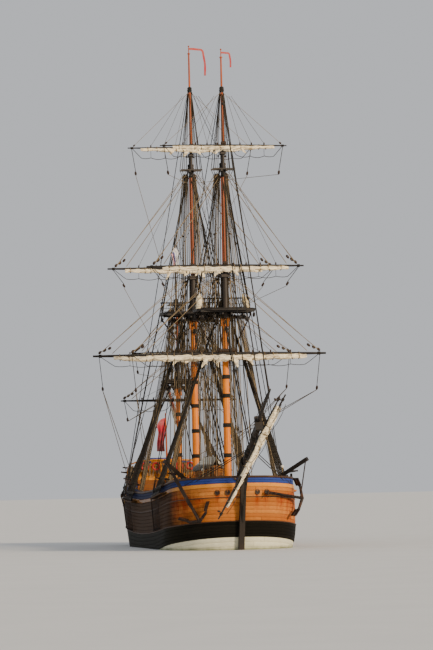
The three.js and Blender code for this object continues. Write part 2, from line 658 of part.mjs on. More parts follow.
// Shrouds. The lower ones stand on the channels at x from first to last and pass up through the top
// beside the lower mast. The upper ones stand on the top's sides, from rim[0] to rim[1] ahead of its mast.
const SHROUDS = [
  { mast: "fore", channel: 0, first: 9.7, last: 7.2, lower: 6, rim: [-0.55, -0.97], upper: 4 },
  { mast: "main", channel: 1, first: -3.5, last: -6.6, lower: 6, rim: [-0.65, -1.0], upper: 4 },
  { mast: "mizzen", channel: 2, first: -10.7, last: -11.9, lower: 4, rim: [-0.3, -0.58], upper: 3 },
];
const SHROUD = 0.036;
const UPPER_SHROUD = 0.03;
const SHROUD_HEAD = { above: 0.34, astern: 0.35, apart: 0.02, beside: 0.06 };
const UPPER_HEAD = { below: 0.14, ahead: 0.3, beside: 0.19 };
const DEADEYE = { radius: 0.1, thick: 0.14, apart: 0.62 };

// Places from first to last, evenly apart.
const evenly = (first, last, count) =>
  Array.from({ length: count }, (_, i) => first + ((last - first) * i) / (count - 1));

// The two deadeyes of a shroud, given as points of the full-size ship.
function deadeyes(low, high) {
  const foot = new THREE.Vector3(...low);
  const up = new THREE.Vector3(...high).sub(foot).normalize();
  const reach = new THREE.Vector3(0, DEADEYE.thick / 2, 0);
  return [DEADEYE.radius, DEADEYE.apart].map((rise) => {
    const middle = up.clone().multiplyScalar(rise).add(foot);
    return rod(middle.clone().sub(reach).toArray(), middle.clone().add(reach).toArray(), DEADEYE.radius, 6);
  });
}

// The top with its lower and upper shrouds. They are made as they stand in the ship.
function makeTop({ mast: name, channel: board, first, last, lower, rim, upper }, mast, touching) {
  const spec = MASTS[name];
  const place = group(mast, 0, 0, spec.top - spec.foot);
  place.updateWorldMatrix(true, false);
  const toShip = (x, y, z) => {
    const point = new THREE.Vector3(x, y, z).multiplyScalar(M);
    return place.localToWorld(point).divideScalar(M).toArray();
  };
  const railAt = line("rail");
  const solids = [topPlatform(spec).transform(place.matrixWorld.elements)];
  for (const side of [1, -1]) {
    evenly(first, last, lower).forEach((x, i) => {
      const z = railAt(x) - CHANNEL_TOP;
      const y = skinAt(x, z) + CHANNELS[board].width - 0.12;
      const { above, astern, apart, beside } = SHROUD_HEAD;
      const head = toShip(-astern - apart * i, side * (spec.headRadius + beside), above);
      const low = [x, side * y, z - 0.03];
      solids.push(rod(low, head, SHROUD, 4), ...deadeyes(low, head));
    });
    for (const ahead of evenly(...rim, upper)) {
      const foot = toShip(ahead, side * (spec.topWide - 0.12), 0.22);
      const height = spec.topmast.trees - spec.top - UPPER_HEAD.below;
      const head = toShip(UPPER_HEAD.ahead, side * UPPER_HEAD.beside, height);
      solids.push(rod(foot, head, UPPER_SHROUD, 4));
    }
  }
  const whole = clearOf(join(...solids), touching);
  const back = place.matrixWorld.clone().invert();
  piece(name + "_top", whole.transform(back.elements), FINISH.blackPaint, place);
}

// Yards. z is the height above the water, half the half-length, radius that at the slings, and sail
// the greatest radius of the sail furled under the yard. mast says which spar the yard turns on.
const YARDS = [
  { name: "fore_yard", mast: "fore", on: "lower", z: 13.85, half: 7.25, radius: 0.17, sail: 0.27 },
  { name: "fore_topsail_yard", mast: "fore", on: "topmast", z: 20.13, half: 5.7, radius: 0.13, sail: 0.23 },
  {
    name: "fore_topgallant_yard", mast: "fore", on: "topgallant",
    z: 28.75, half: 4.6, radius: 0.09, sail: 0.2,
  },
  { name: "main_yard", mast: "main", on: "lower", z: 14.45, half: 7.8, radius: 0.18, sail: 0.28 },
  { name: "main_topsail_yard", mast: "main", on: "topmast", z: 21.03, half: 6.6, radius: 0.14, sail: 0.24 },
  {
    name: "main_topgallant_yard", mast: "main", on: "topgallant",
    z: 30.2, half: 4.9, radius: 0.1, sail: 0.2,
  },
  { name: "crossjack_yard", mast: "mizzen", on: "lower", z: 11.3, half: 4.6, radius: 0.12, sail: 0 },
  { name: "mizzen_topsail_yard", mast: "mizzen", on: "topmast", z: 15.0, half: 3.7, radius: 0.1, sail: 0.16 },
];

const SAIL_SHARE = 0.8; // of the yard that the furled sail covers
function furledSail(half, radius) {
  const profile = [];
  const steps = 6;
  for (let i = 0; i <= steps; i++) {
    const t = -1 + (2 * i) / steps;
    profile.push([i / steps, radius * (0.42 + 0.58 * (1 - t * t) ** 0.7)]);
  }
  const reach = half * SAIL_SHARE;
  return bar([0, -reach, 0], [0, reach, 0], profile, 8);
}

function yardBar(half, radius) {
  const taper = [[0, 0.42], [0.25, 0.8], [0.5, 1], [0.75, 0.8], [1, 0.42]];
  return bar([0, -half, 0], [0, half, 0], taper.map(([share, part]) => [share, part * radius]), 8);
}

const COLLAR_PLAY = 0.0015;
// A collar that lets a spar turn on its mast.
function collar(innerRadius, height, thickness = 0.05) {
  const cosine = Math.cos(Math.PI / MAST_SIDES);
  const outerRadius = innerRadius / cosine + thickness;
  const outer = rod([0, 0, -height / 2], [0, 0, height / 2], outerRadius, MAST_SIDES, 1);
  const hole = rod([0, 0, -height], [0, 0, height], innerRadius / cosine, MAST_SIDES, 1);
  return outer.subtract(hole);
}

function makeYard(spec, mastGroups) {
  const mast = MASTS[spec.mast];
  const radiusAt = { lower: mastRadius, topmast: topmastRadius, topgallant: topgallantRadius }[spec.on];
  const ahead = { lower: 0, topmast: TOPMAST_AHEAD, topgallant: TOPMAST_AHEAD + TOPGALLANT_AHEAD }[spec.on];
  const slings = group(mastGroups[spec.mast], ahead, 0, spec.z - mast.foot);
  const height = 0.16;
  const inner = radiusAt(mast, spec.z - height / 2) + COLLAR_PLAY;
  const offset = inner + spec.radius + 0.04;
  const ring = collar(inner, height);
  const yard = yardBar(spec.half, spec.radius).translate([offset * M, 0, 0]);
  piece(spec.name, join(ring, yard), FINISH.blackPaint, slings);
  if (spec.sail) {
    const below = spec.radius * 0.75 + spec.sail * 0.62;
    const forward = Math.sqrt(((spec.radius + spec.sail) * 0.9) ** 2 - below ** 2);
    const bundle = furledSail(spec.half, spec.sail).translate([(offset + forward) * M, 0, -below * M]);
    piece(spec.name.replace("yard", "sail"), clearOf(bundle, [yard]), FINISH.canvas, slings);
  }
}

// Gaff of the mizzen, with its sail brailed up under it.
const GAFF = { z: 9.6, length: 6.4, peak: 33, radius: 0.11 };
function makeGaff(mizzen) {
  const place = group(mizzen, 0, 0, GAFF.z - MASTS.mizzen.foot);
  const inner = mastRadius(MASTS.mizzen, GAFF.z - 0.12) + COLLAR_PLAY;
  const lift = THREE.MathUtils.degToRad(GAFF.peak);
  const tip = [-Math.cos(lift) * GAFF.length, 0, Math.sin(lift) * GAFF.length];
  const start = inner + 0.04;
  const taper = [[0, 0.9], [0.4, 1], [1, 0.55]].map(([share, radius]) => [share, radius * GAFF.radius]);
  const spar = bar([-start, 0, 0.02], tip, taper, 10);
  const mast = rod([0, 0, -2], [0, 0, 2], inner / Math.cos(Math.PI / MAST_SIDES), MAST_SIDES, 1);
  piece("gaff", join(collar(inner, 0.22), spar.subtract(mast)), FINISH.mastVarnish, place);
  const drop = 0.25;
  const sail = bar([-start - 0.3, 0, 0.1 - drop], [tip[0] * 0.93, 0, tip[2] * 0.93 - drop - 0.02],
    [[0, 0.12], [0.25, 0.2], [0.6, 0.17], [1, 0.08]], 10);
  piece("gaff_sail", clearOf(sail, [spar, mast]), FINISH.canvas, place);
}

// Bowsprit and jibboom. The bowsprit's height is known from x.
const STEEVE = 0.459;
const bowspritZ = (x) => 4.76 + STEEVE * (x - 14.85);
const BOWSPRIT = { heel: 13.1, cap: 22.8, radius: 0.27, headRadius: 0.2 };
const JIBBOOM = { heel: 20.6, tip: 27.0, lift: 0.4, radius: 0.14 };
// Sprit yards, hung under the bowsprit and topped up, so that the starboard arm is low.
const SPRIT_YARDS = [
  { name: "spritsail_yard", x: 20.25, z: 6.42, half: 4.85, radius: 0.12, topped: 60, sail: 0.17 },
  { name: "sprit_topsail_yard", x: 22.35, z: 7.48, half: 3.35, radius: 0.09, topped: 61.5, sail: 0.22 },
];
const SPRIT_REACH = 0.32; // from the strap that carries a sprit yard to the yard's axis

// Ropes that hold the bowsprit down to the stem, and stays from the foremast to the jibboom.
const STAY_ROPE = 0.04;
const BOBSTAYS = [
  { x: 19.7, stem: [16.4, 0, 2.6] },
  { x: 18.9, stem: [16.0, 0, 1.6] },
];
const JIB_STAYS = [
  { from: mastPoint("fore", 27.4, 1, topmastRadius, TOPMAST_AHEAD), x: 24.5 },
  { from: mastPoint("fore", 32.5, 1, topgallantRadius, TOPMAST_AHEAD + TOPGALLANT_AHEAD), x: 26.7 },
];

function makeBowsprit(touching) {
  const { heel, cap, radius, headRadius } = BOWSPRIT;
  const spar = bar([heel, 0, bowspritZ(heel)], [cap, 0, bowspritZ(cap)],
    [[0, radius * 0.95], [0.3, radius], [1, headRadius]], 14);
  const turn = { y: -Math.atan(STEEVE) };
  const block = box([cap, 0, bowspritZ(cap) + JIBBOOM.lift / 2], [0.24, 0.5, 1.0], turn);
  const bore = rod([JIBBOOM.heel, 0, bowspritZ(JIBBOOM.heel) + JIBBOOM.lift],
    [JIBBOOM.tip, 0, bowspritZ(JIBBOOM.tip) + JIBBOOM.lift],
    JIBBOOM.radius / Math.cos(Math.PI / 12) + GAP, 12, 1);
  const saddleX = JIBBOOM.heel + 0.35;
  const saddle = box([saddleX, 0, bowspritZ(saddleX) + 0.2], [0.3, 0.24, 0.16], turn);
  const straps = SPRIT_YARDS.map((yard) => {
    const x = yard.x - SPRIT_REACH;
    const top = bowspritZ(x);
    const hanger = box([x, 0, (top + yard.z) / 2], [0.1, 0.14, top - yard.z + 0.1]);
    const pin = rod([x, 0, yard.z], [yard.x - yard.radius - 0.0012, 0, yard.z], 0.05, 10);
    return join(hanger, pin);
  });
  const bobstays = BOBSTAYS.map(({ x, stem }) => rod([x, 0, bowspritZ(x)], stem, STAY_ROPE, 6));
  const whole = join(spar, block, saddle, ...straps, ...bobstays).subtract(bore);
  piece("bowsprit", clearOf(whole, touching), FINISH.blackPaint);
  const { tip, lift } = JIBBOOM;
  const boom = bar([JIBBOOM.heel, 0, bowspritZ(JIBBOOM.heel) + lift], [tip, 0, bowspritZ(tip) + lift],
    [[0, JIBBOOM.radius], [0.4, JIBBOOM.radius], [1, JIBBOOM.radius * 0.55]], 12);
  const stays = JIB_STAYS.map(({ from, x }) => rod(from, [x, 0, bowspritZ(x) + lift], STAY_ROPE, 6));
  const masts = standingNodes("fore_topmast", "fore_topgallant_mast");
  piece("jibboom", clearOf(join(boom, ...stays), masts), FINISH.blackPaint);
}

function makeSpritYards() {
  for (const spec of SPRIT_YARDS) {
    const turn = THREE.MathUtils.degToRad(spec.topped);
    const place = group(ship, spec.x, 0, spec.z, { x: turn });
    const yard = yardBar(spec.half, spec.radius);
    piece(spec.name, yard, FINISH.blackPaint, place);
    const out = (spec.radius + spec.sail) * 0.9;
    const slope = 0.6;
    const shift = [Math.cos(slope) * out * M, 0, -Math.sin(slope) * out * M];
    const bundle = furledSail(spec.half, spec.sail).translate(shift);
    piece(spec.name.replace("yard", "sail"), clearOf(bundle, [yard]), FINISH.canvas, place);
  }
}

// Catheads and the anchors that hang from them.
const CATHEAD = { root: [12.7, 3.5, 5.1], end: [14.3, 5.1, 6.27], post: 0.26 };
function makeCatheads(foreDeck) {
  const made = {};
  for (const [word, side] of [["port", 1], ["starboard", -1]]) {
    const [x, y, z] = [CATHEAD.root[0], CATHEAD.root[1] * side, CATHEAD.root[2]];
    const end = [CATHEAD.end[0], CATHEAD.end[1] * side, CATHEAD.end[2]];
    const beam = bar([x, y, z], end, [[-0.05, 0.19], [1, 0.19]], 4, 1);
    const foot = forecastleDeck(x) - 0.1;
    const post = box([x + 0.1, y + 0.1 * side, (foot + z) / 2], [CATHEAD.post, CATHEAD.post, z - foot]);
    made[word] = piece("cathead_" + word, clearOf(join(beam, post), [foreDeck]), FINISH.blackPaint);
  }
  return made;
}

// An anchor drawn lying along -X from its ring, with its arms in the XY plane and its iron stock
// folded along the shank.
const ANCHOR = { shank: 3.7, arm: 1.3 };
function anchorSolid() {
  const crown = [-ANCHOR.shank, 0, 0];
  const parts = [
    rod([0, 0, 0], crown, 0.11, 6),
    rod([-0.3, 0, 0.19], [-2.5, 0, 0.19], 0.05, 6),
    box([-0.5, 0, 0.1], [0.14, 0.1, 0.28]),
    box([-2.3, 0, 0.1], [0.14, 0.1, 0.28]),
    rod([0.1, -0.16, 0], [0.1, 0.16, 0], 0.06, 6),
    box([0.04, 0, 0], [0.2, 0.1, 0.1]),
  ];
  for (const s of [1, -1]) {
    const elbow = [-ANCHOR.shank + 0.3, s * 0.75, 0];
    const bill = [-ANCHOR.shank + 0.95, s * ANCHOR.arm, 0];
    parts.push(bar(crown, elbow, [[-0.08, 0.12], [1.05, 0.1]], 6));
    parts.push(bar(elbow, bill, [[-0.05, 0.1], [1, 0.05]], 6));
    parts.push(box([-ANCHOR.shank + 0.68, s * 1.08, 0], [0.62, 0.08, 0.46], { z: s * 0.87 }));
  }
  return join(...parts);
}

// ring and crown are the two ends of the shank; across is the way the arms spread. The strop hangs
// the anchor on its cathead, from held on the anchor to a point inside the cathead.
const ANCHORS = [
  {
    side: "starboard", ring: [15.05, -4.6, 5.3], crown: [15.42, -2.85, 2.0], across: [-0.6, -0.8, 0],
    held: [15.05, -4.6, 5.3], strop: [14.2, -5.0, 6.2],
  },
  {
    side: "port", ring: [16.71, 1.84, 3.95], crown: [14.36, 4.66, 3.5], across: [0, 0, 1],
    held: [14.5, 4.5, 3.53], strop: [14.2, 5.0, 6.2],
  },
];
function makeAnchors(catheads) {
  for (const { side, ring, crown, across, held, strop } of ANCHORS) {
    const x = new THREE.Vector3(...ring).sub(new THREE.Vector3(...crown)).normalize();
    const spread = new THREE.Vector3(...across);
    const y = spread.addScaledVector(x, -x.dot(spread)).normalize();
    if (x.clone().cross(y).x < 0) y.negate();
    const matrix = new THREE.Matrix4().makeBasis(x, y, x.clone().cross(y));
    matrix.setPosition(ring[0] * M, ring[1] * M, ring[2] * M);
    const anchor = anchorSolid().transform(matrix.elements);
    const solid = join(anchor, rod(held, strop, 0.045, 6));
    piece("anchor_" + side, clearOf(solid, [standing(catheads[side])]), FINISH.iron);
  }
}

// Main stays, straight from mast to mast. side is 1 on the fore side of a mast and -1 on its aft side.
function mastPoint(name, z, side, radiusAt = mastRadius, ahead = 0) {
  const spec = MASTS[name];
  const rake = THREE.MathUtils.degToRad(spec.rake);
  const height = z - spec.foot;
  const out = ahead + side * radiusAt(spec, z) * 0.5;
  return [
    spec.x + out * Math.cos(rake) - height * Math.sin(rake),
    0,
    spec.foot + height * Math.cos(rake) + out * Math.sin(rake),
  ];
}
const onBowsprit = (x) => [x, 0, bowspritZ(x) + 0.1];
const STAYS = [
  {
    name: "fore_stay",
    from: mastPoint("fore", 15.95, 1),
    to: onBowsprit(19.4),
    radius: 0.05,
    ends: ["fore_lower_mast", "bowsprit"],
  },
  {
    name: "main_stay",
    from: mastPoint("main", 16.5, 1),
    to: mastPoint("fore", 4.9, -1),
    radius: 0.06,
    ends: ["main_lower_mast", "fore_lower_mast"],
  },
  {
    name: "fore_topmast_stay",
    from: mastPoint("fore", 26.3, 1, topmastRadius, TOPMAST_AHEAD),
    to: onBowsprit(20.3),
    radius: 0.035,
    ends: ["fore_topmast", "bowsprit"],
  },
  {
    name: "main_topmast_stay",
    from: mastPoint("main", 27.8, 1, topmastRadius, TOPMAST_AHEAD),
    to: mastPoint("fore", 17.9, -1),
    radius: 0.035,
    ends: ["main_topmast", "fore_lower_mast"],
  },
];
function makeStays() {
  for (const { name, from, to, radius, ends } of STAYS) {
    piece(name, clearOf(rod(from, to, radius, 6), standingNodes(...ends)), FINISH.rope);
  }
}

const hull = makeHull();
const walls = makeBulwarks();
makeTransom([hull.wale, hull.side, ...walls]);
hull.keel = makeKeel([hull.bottom, hull.wale, hull.side]);
makeDecks(hull);
makeRudder();
makeWheel();
makeCapstan();
makeWindlass();
makeBoat();
const mastGroups = {};
for (const name of Object.keys(MASTS)) mastGroups[name] = makeMast(name);
for (const spec of SHROUDS) {
  const spars = standingNodes(spec.mast + "_lower_mast", spec.mast + "_topmast");
  makeTop(spec, mastGroups[spec.mast], [...walls, ...spars]);
}
for (const spec of YARDS) makeYard(spec, mastGroups);
makeGaff(mastGroups.mizzen);
makeBowsprit([hull.foreDeck, hull.keel, ...walls]);
makeSpritYards();
makeAnchors(makeCatheads(hull.foreDeck));
makeStays();

export default ship;
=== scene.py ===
"""Looks of a three-masted square-rigged sailing ship at half size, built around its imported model.

X points to the bow, Y to port, Z up, and the origin is amidships at the waterline. Every table and
length below is in metres of the full-size ship, and K turns them into the model's.
"""

import math
import random

import bpy
from mathutils import Matrix, Vector, noise


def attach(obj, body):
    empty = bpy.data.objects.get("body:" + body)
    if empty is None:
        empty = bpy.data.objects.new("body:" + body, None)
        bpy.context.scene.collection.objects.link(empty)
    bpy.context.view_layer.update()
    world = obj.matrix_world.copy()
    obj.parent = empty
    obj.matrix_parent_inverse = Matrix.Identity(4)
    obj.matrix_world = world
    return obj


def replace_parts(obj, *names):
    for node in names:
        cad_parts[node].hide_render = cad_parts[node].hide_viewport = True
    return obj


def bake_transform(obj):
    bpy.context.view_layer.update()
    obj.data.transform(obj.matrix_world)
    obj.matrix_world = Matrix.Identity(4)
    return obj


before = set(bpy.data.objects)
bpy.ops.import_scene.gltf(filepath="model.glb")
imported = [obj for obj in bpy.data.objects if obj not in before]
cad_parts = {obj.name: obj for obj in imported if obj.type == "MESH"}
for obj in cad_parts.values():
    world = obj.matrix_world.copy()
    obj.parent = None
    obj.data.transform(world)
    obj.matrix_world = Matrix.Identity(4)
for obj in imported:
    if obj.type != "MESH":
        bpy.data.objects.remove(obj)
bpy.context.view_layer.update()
K = 0.5
SIDES = (1, -1)
UP = Vector((0, 0, 1))
random.seed(11)


def add_object(name, data):
    made = bpy.data.objects.new(name, data)
    bpy.context.scene.collection.objects.link(made)
    return made


CAMERA_PLACE = (105.92, -18.368, 2.1)
CAMERA_HEADING = (-0.984, 0.177)
CAMERA_PITCH = math.radians(3.3)
CAMERA_ROLL = math.radians(-1.2)


def make_camera():
    """A long lens from off the starboard bow, a little above the water."""
    data = bpy.data.cameras.new("camera")
    data.lens = 158.4
    data.sensor_width = 36
    data.clip_end = 3000
    camera = add_object("camera", data)
    level = math.cos(CAMERA_PITCH)
    ahead = Vector((CAMERA_HEADING[0] * level, CAMERA_HEADING[1] * level, math.sin(CAMERA_PITCH)))
    look = ahead.to_track_quat("-Z", "Y").to_matrix().to_4x4()
    camera.matrix_world = Matrix.Translation(CAMERA_PLACE) @ look @ Matrix.Rotation(CAMERA_ROLL, 4, "Z")
    bpy.context.scene.camera = camera


make_camera()


# materials


class Finish:
    """A node material. Its methods add nodes and return their output sockets."""

    def __init__(self, name, roughness=0.6, metallic=0.0, **sockets):
        sockets.setdefault("Specular_IOR_Level", 0.3)
        self.material = bpy.data.materials.new(name)
        self.material.use_nodes = True
        self.nodes = self.material.node_tree.nodes
        self.links = self.material.node_tree.links
        self.shader = self.nodes["Principled BSDF"]
        self.shader.inputs["Roughness"].default_value = roughness
        self.shader.inputs["Metallic"].default_value = metallic
        for key, value in sockets.items():
            self.shader.inputs[key.replace("_", " ")].default_value = value

    def add(self, kind, inputs=(), out=0, **settings):
        node = self.nodes.new("ShaderNode" + kind)
        for key, value in settings.items():
            setattr(node, key, value)
        for key, value in dict(inputs).items():
            if isinstance(value, bpy.types.NodeSocket):
                self.links.new(value, node.inputs[key])
            else:
                node.inputs[key].default_value = value
        return node.outputs[out]

    def maths(self, operation, *values):
        return self.add("Math", dict(enumerate(values)), operation=operation)

    def place(self, scale=(1, 1, 1), uv=False):
        source = self.add("UVMap") if uv else self.add("TexCoord", out="Object")
        return self.add("Mapping", {"Vector": source, "Scale": scale})

    def split(self, vector):
        """The three parts of a vector."""
        return self.add("SeparateXYZ", {"Vector": vector}).node.outputs

    def noise(self, vector, scale, detail=4.0, rough=0.6):
        inputs = {"Vector": vector, "Scale": scale, "Detail": detail, "Roughness": rough}
        return self.add("TexNoise", inputs, out="Fac")

    def wave(self, vector, scale, distortion, direction, **settings):
        inputs = {"Vector": vector, "Scale": scale, "Distortion": distortion}
        return self.add("TexWave", inputs, out="Fac", bands_direction=direction, **settings)

    def ramp(self, factor, *stops):
        output = self.add("ValToRGB", {"Fac": factor})
        elements = output.node.color_ramp.elements
        while len(elements) < len(stops):
            elements.new(0.5)
        for element, (place, color) in zip(elements, stops):
            element.position = place
            element.color = (*color, 1)
        return output

    def band(self, value, low, high):
        inputs = {"Value": value, "From Min": low, "From Max": high}
        return self.add("MapRange", inputs)

    def mix(self, factor, first, second):
        node = self.add("Mix", {0: factor}, out=2, data_type="RGBA", blend_type="MIX").node
        for index, value in ((6, first), (7, second)):
            if isinstance(value, bpy.types.NodeSocket):
                self.links.new(value, node.inputs[index])
            else:
                node.inputs[index].default_value = (*value, 1)
        return node.outputs[2]

    def finish(self, color, height=None, strength=0.3, distance=0.01, roughness=None):
        self.links.new(color, self.shader.inputs["Base Color"])
        if height is not None:
            bump = self.add("Bump", {"Strength": strength, "Distance": distance, "Height": height})
            self.links.new(bump, self.shader.inputs["Normal"])
        if roughness is not None:
            self.links.new(roughness, self.shader.inputs["Roughness"])
        return self.material


def shade(color, factor):
    return tuple(min(c * factor, 1) for c in color)


# the last of these colours is painted shade, the dark of the starboard side lying in shadow
STAIN, WATER_MARK, STARBOARD_SHADE_DARK = (0.26, 0.026, 0.005), (0.2, 0.21, 0.11), (0.014, 0.0125, 0.0065)


def planked(
        name, tones, seam, length=5.5, roughness=0.5, stained=False, waterline=False, coat=0.0, starboard_shade=0.0):
    """Planks by UV: u is metres along, and v counts the planks, each with its own tone, grain and butts.

    The starboard_shade amount is painted shade: it darkens the starboard side abaft the bow in patches, as if
    that side lay in shadow.
    """
    f = Finish(name, roughness, Coat_Weight=coat, Specular_IOR_Level=0.03)
    u, v = f.split(f.add("UVMap"))[:2]
    row = f.maths("FLOOR", v)
    shift = f.add("TexWhiteNoise", {"W": row}, noise_dimensions="1D")
    along = f.maths("DIVIDE", f.maths("MULTIPLY_ADD", shift, 7.3, u), length)
    cell = f.add("CombineXYZ", {"X": f.maths("FLOOR", along), "Y": row})
    one = f.add("TexWhiteNoise", {"Vector": cell}, noise_dimensions="2D")
    tone = f.ramp(one, *[(i / (len(tones) - 1), t) for i, t in enumerate(tones)])
    grain = f.noise(f.place((0.5, 3.4, 1), uv=True), 6, 7, 0.7)
    worn = f.noise(f.place((1, 1, 1)), 1.1, 5, 0.65)
    color = f.mix(f.band(grain, 0.42, 0.75), tone, shade(tones[0], 0.62))
    color = f.mix(f.band(worn, 0.5, 0.8), color, shade(tones[-1], 0.72))
    butt = f.maths("MULTIPLY", f.maths("PINGPONG", along, 0.5), length)
    peg_across = f.maths("MULTIPLY", f.maths("SUBTRACT", f.maths("PINGPONG", v, 0.5), 0.24), 0.28)
    peg_along = f.maths("POWER", f.maths("PINGPONG", u, 0.31), 2)
    pegs = f.maths("ADD", peg_along, f.maths("POWER", peg_across, 2))
    marks = f.maths("MAXIMUM", f.maths("LESS_THAN", butt, 0.014), f.maths("LESS_THAN", pegs, 0.0002))
    color = f.mix(f.maths("MULTIPLY", marks, 0.8), color, seam)
    if stained:
        streak = f.noise(f.place((3, 3, 0.5)), 3, 4, 0.6)
        amount = f.add("Attribute", attribute_name="stain", out="Fac")
        color = f.mix(f.maths("MULTIPLY", amount, f.band(streak, 0.36, 0.58)), color, STAIN)
    if waterline:
        height = f.split(f.place())[2]
        ripple = f.maths("MULTIPLY_ADD", f.noise(f.place((1, 1, 0.3)), 2.5, 5, 0.7), 0.14, height)
        color = f.mix(f.band(ripple, 0.2, 0.07), color, WATER_MARK)
    # painted shade: the starboard side abaft the bow is darkened in patches, as if in shadow
    if starboard_shade:
        x, y = f.split(f.place())[:2]
        patchy = f.maths("MULTIPLY_ADD", f.noise(f.place((0.6, 1, 2)), 1.6, 5, 0.7), 1.6, x)
        side = f.maths("MULTIPLY", f.band(patchy, 8.3, 7.1), f.band(y, -0.6, -1.5))
        color = f.mix(f.maths("MULTIPLY", side, starboard_shade), color, STARBOARD_SHADE_DARK)
    height = f.maths("SUBTRACT", f.maths("MULTIPLY", grain, 0.35), marks)
    return f.finish(color, height, 0.35, 0.006, f.band(grain, 1.6, -0.4) if coat == 0 else None)


def painted(name, color, wear, roughness=0.5, scale=3.0, metallic=0.0, bump=0.25):
    """Brushed paint or iron with worn and dusty patches."""
    f = Finish(name, roughness, metallic)
    patches = f.noise(f.place(), scale, 6, 0.65)
    brush = f.noise(f.place((1, 1, 4)), 24, 3, 0.6)
    made = f.mix(f.band(patches, 0.5, 0.82), color, wear)
    made = f.mix(f.band(brush, 0.55, 0.9), made, shade(wear, 0.8))
    rough = f.add("MapRange", {"Value": patches, "To Min": roughness - 0.12, "To Max": roughness + 0.2})
    return f.finish(made, brush, bump, 0.004, rough)


def spar(name, light, dark, black=()):
    """Varnished spar with long grain. black lists the tarred stretches, as heights of the full-size ship."""
    f = Finish(name, 0.5)
    grain = f.noise(f.place((9, 9, 0.7)), 5, 8, 0.65)
    patches = f.noise(f.place((1, 1, 0.4)), 1.6, 4, 0.6)
    color = f.ramp(grain, (0.3, dark), (0.62, light))
    color = f.mix(f.band(patches, 0.45, 0.85), color, shade(dark, 0.7))
    height = f.split(f.place())[2]
    tar = f.ramp(patches, (0.3, (0.012, 0.01, 0.008)), (0.8, (0.045, 0.03, 0.02)))
    for low, high in black:
        above, below = f.maths("GREATER_THAN", height, low * K), f.maths("LESS_THAN", height, high * K)
        color = f.mix(f.maths("MULTIPLY", above, below), color, tar)
    return f.finish(color, grain, 0.2, 0.004)


def rope(name, color, dark):
    """Laid rope: strands turn round it, with fuzz and dirt. v is metres round, u metres along."""
    f = Finish(name, 0.9)
    strand = f.wave(f.place((10, 18, 1), uv=True), 1.4, 0.6, "DIAGONAL")
    dirt = f.noise(f.place(), 4, 4, 0.6)
    made = f.mix(f.band(strand, 0.0, 0.5), dark, color)
    made = f.mix(f.band(dirt, 0.45, 0.8), made, dark)
    return f.finish(made, strand, 0.5, 0.006)


def canvas(name, light, dark, mould=0.5, shade_below=None):
    """Weathered sailcloth with seams, weave and damp marks. Below the height shade_below it is painted dark,
    as painted shade.
    """
    f = Finish(name, 0.88, Sheen_Weight=0.25)
    weave = f.wave(f.place(), 60, 1.0, "Z")
    folds = f.noise(f.place((5, 1.1, 5)), 5, 5, 0.6)
    damp = f.noise(f.place((2, 1.3, 2)), 2.6, 6, 0.7)
    # painted shade together with uneven tone: the cloth is darker in the hollows of the folds noise that also
    # makes its bumps
    made = f.ramp(folds, (0.36, dark), (0.52, light))
    made = f.mix(f.maths("MULTIPLY", f.band(damp, 0.5, 0.68), mould), made, shade(dark, 0.45))
    # painted shade: below the given height the cloth is darkened as if it lay in shadow
    if shade_below:
        made = f.mix(f.band(f.split(f.place())[2], shade_below, shade_below - 0.06), made, (0.06, 0.05, 0.035))
    return f.finish(made, f.maths("MULTIPLY_ADD", weave, 0.12, folds), 0.55, 0.02)


def cloth(name, bands, along=0):
    """Plain flag cloth in stripes across u, or across v where along is 1. A band is [place, color]."""
    f = Finish(name, 0.8, Sheen_Weight=0.3)
    value = f.maths("FRACT", f.split(f.add("UVMap"))[along])
    output = f.ramp(value, *bands)
    output.node.color_ramp.interpolation = "CONSTANT"
    thread = f.wave(f.place(), 90, 0.5, "Z")
    dusty = f.noise(f.place(), 3, 4, 0.6)
    return f.finish(f.mix(f.band(dusty, 0.4, 1.0), output, (0.25, 0.2, 0.18)), thread, 0.25, 0.002)


def decking():
    """Scrubbed deck planks with pitch seams, laid along the ship."""
    f = Finish("deck_planks", 0.75)
    brick = f.add("TexBrick", {
        "Vector": f.place(), "Color1": (0.36, 0.27, 0.17, 1), "Color2": (0.29, 0.21, 0.13, 1),
        "Mortar": (0.03, 0.024, 0.018, 1), "Scale": 1.0, "Mortar Size": 0.004, "Brick Width": 2.6,
        "Row Height": 0.085, "Bias": 0.1}, offset=0.37).node
    grain = f.noise(f.place((1, 16, 1)), 5, 6, 0.7)
    foot = f.noise(f.place(), 1.4, 5, 0.6)
    color = f.mix(f.band(grain, 0.4, 0.8), brick.outputs["Color"], (0.2, 0.15, 0.1))
    color = f.mix(f.band(foot, 0.5, 0.85), color, (0.17, 0.13, 0.09))
    height = f.maths("MULTIPLY_ADD", brick.outputs["Fac"], -1.0, f.maths("MULTIPLY", grain, 0.3))
    return f.finish(color, height, 0.5, 0.004)


def glazing():
    f = Finish("window_glass", 0.08, Specular_IOR_Level=0.7)
    cloud = f.noise(f.place(), 2, 3, 0.5)
    return f.finish(f.ramp(cloud, (0.3, (0.02, 0.025, 0.03)), (0.8, (0.07, 0.08, 0.08))), cloud, 0.1, 0.01)


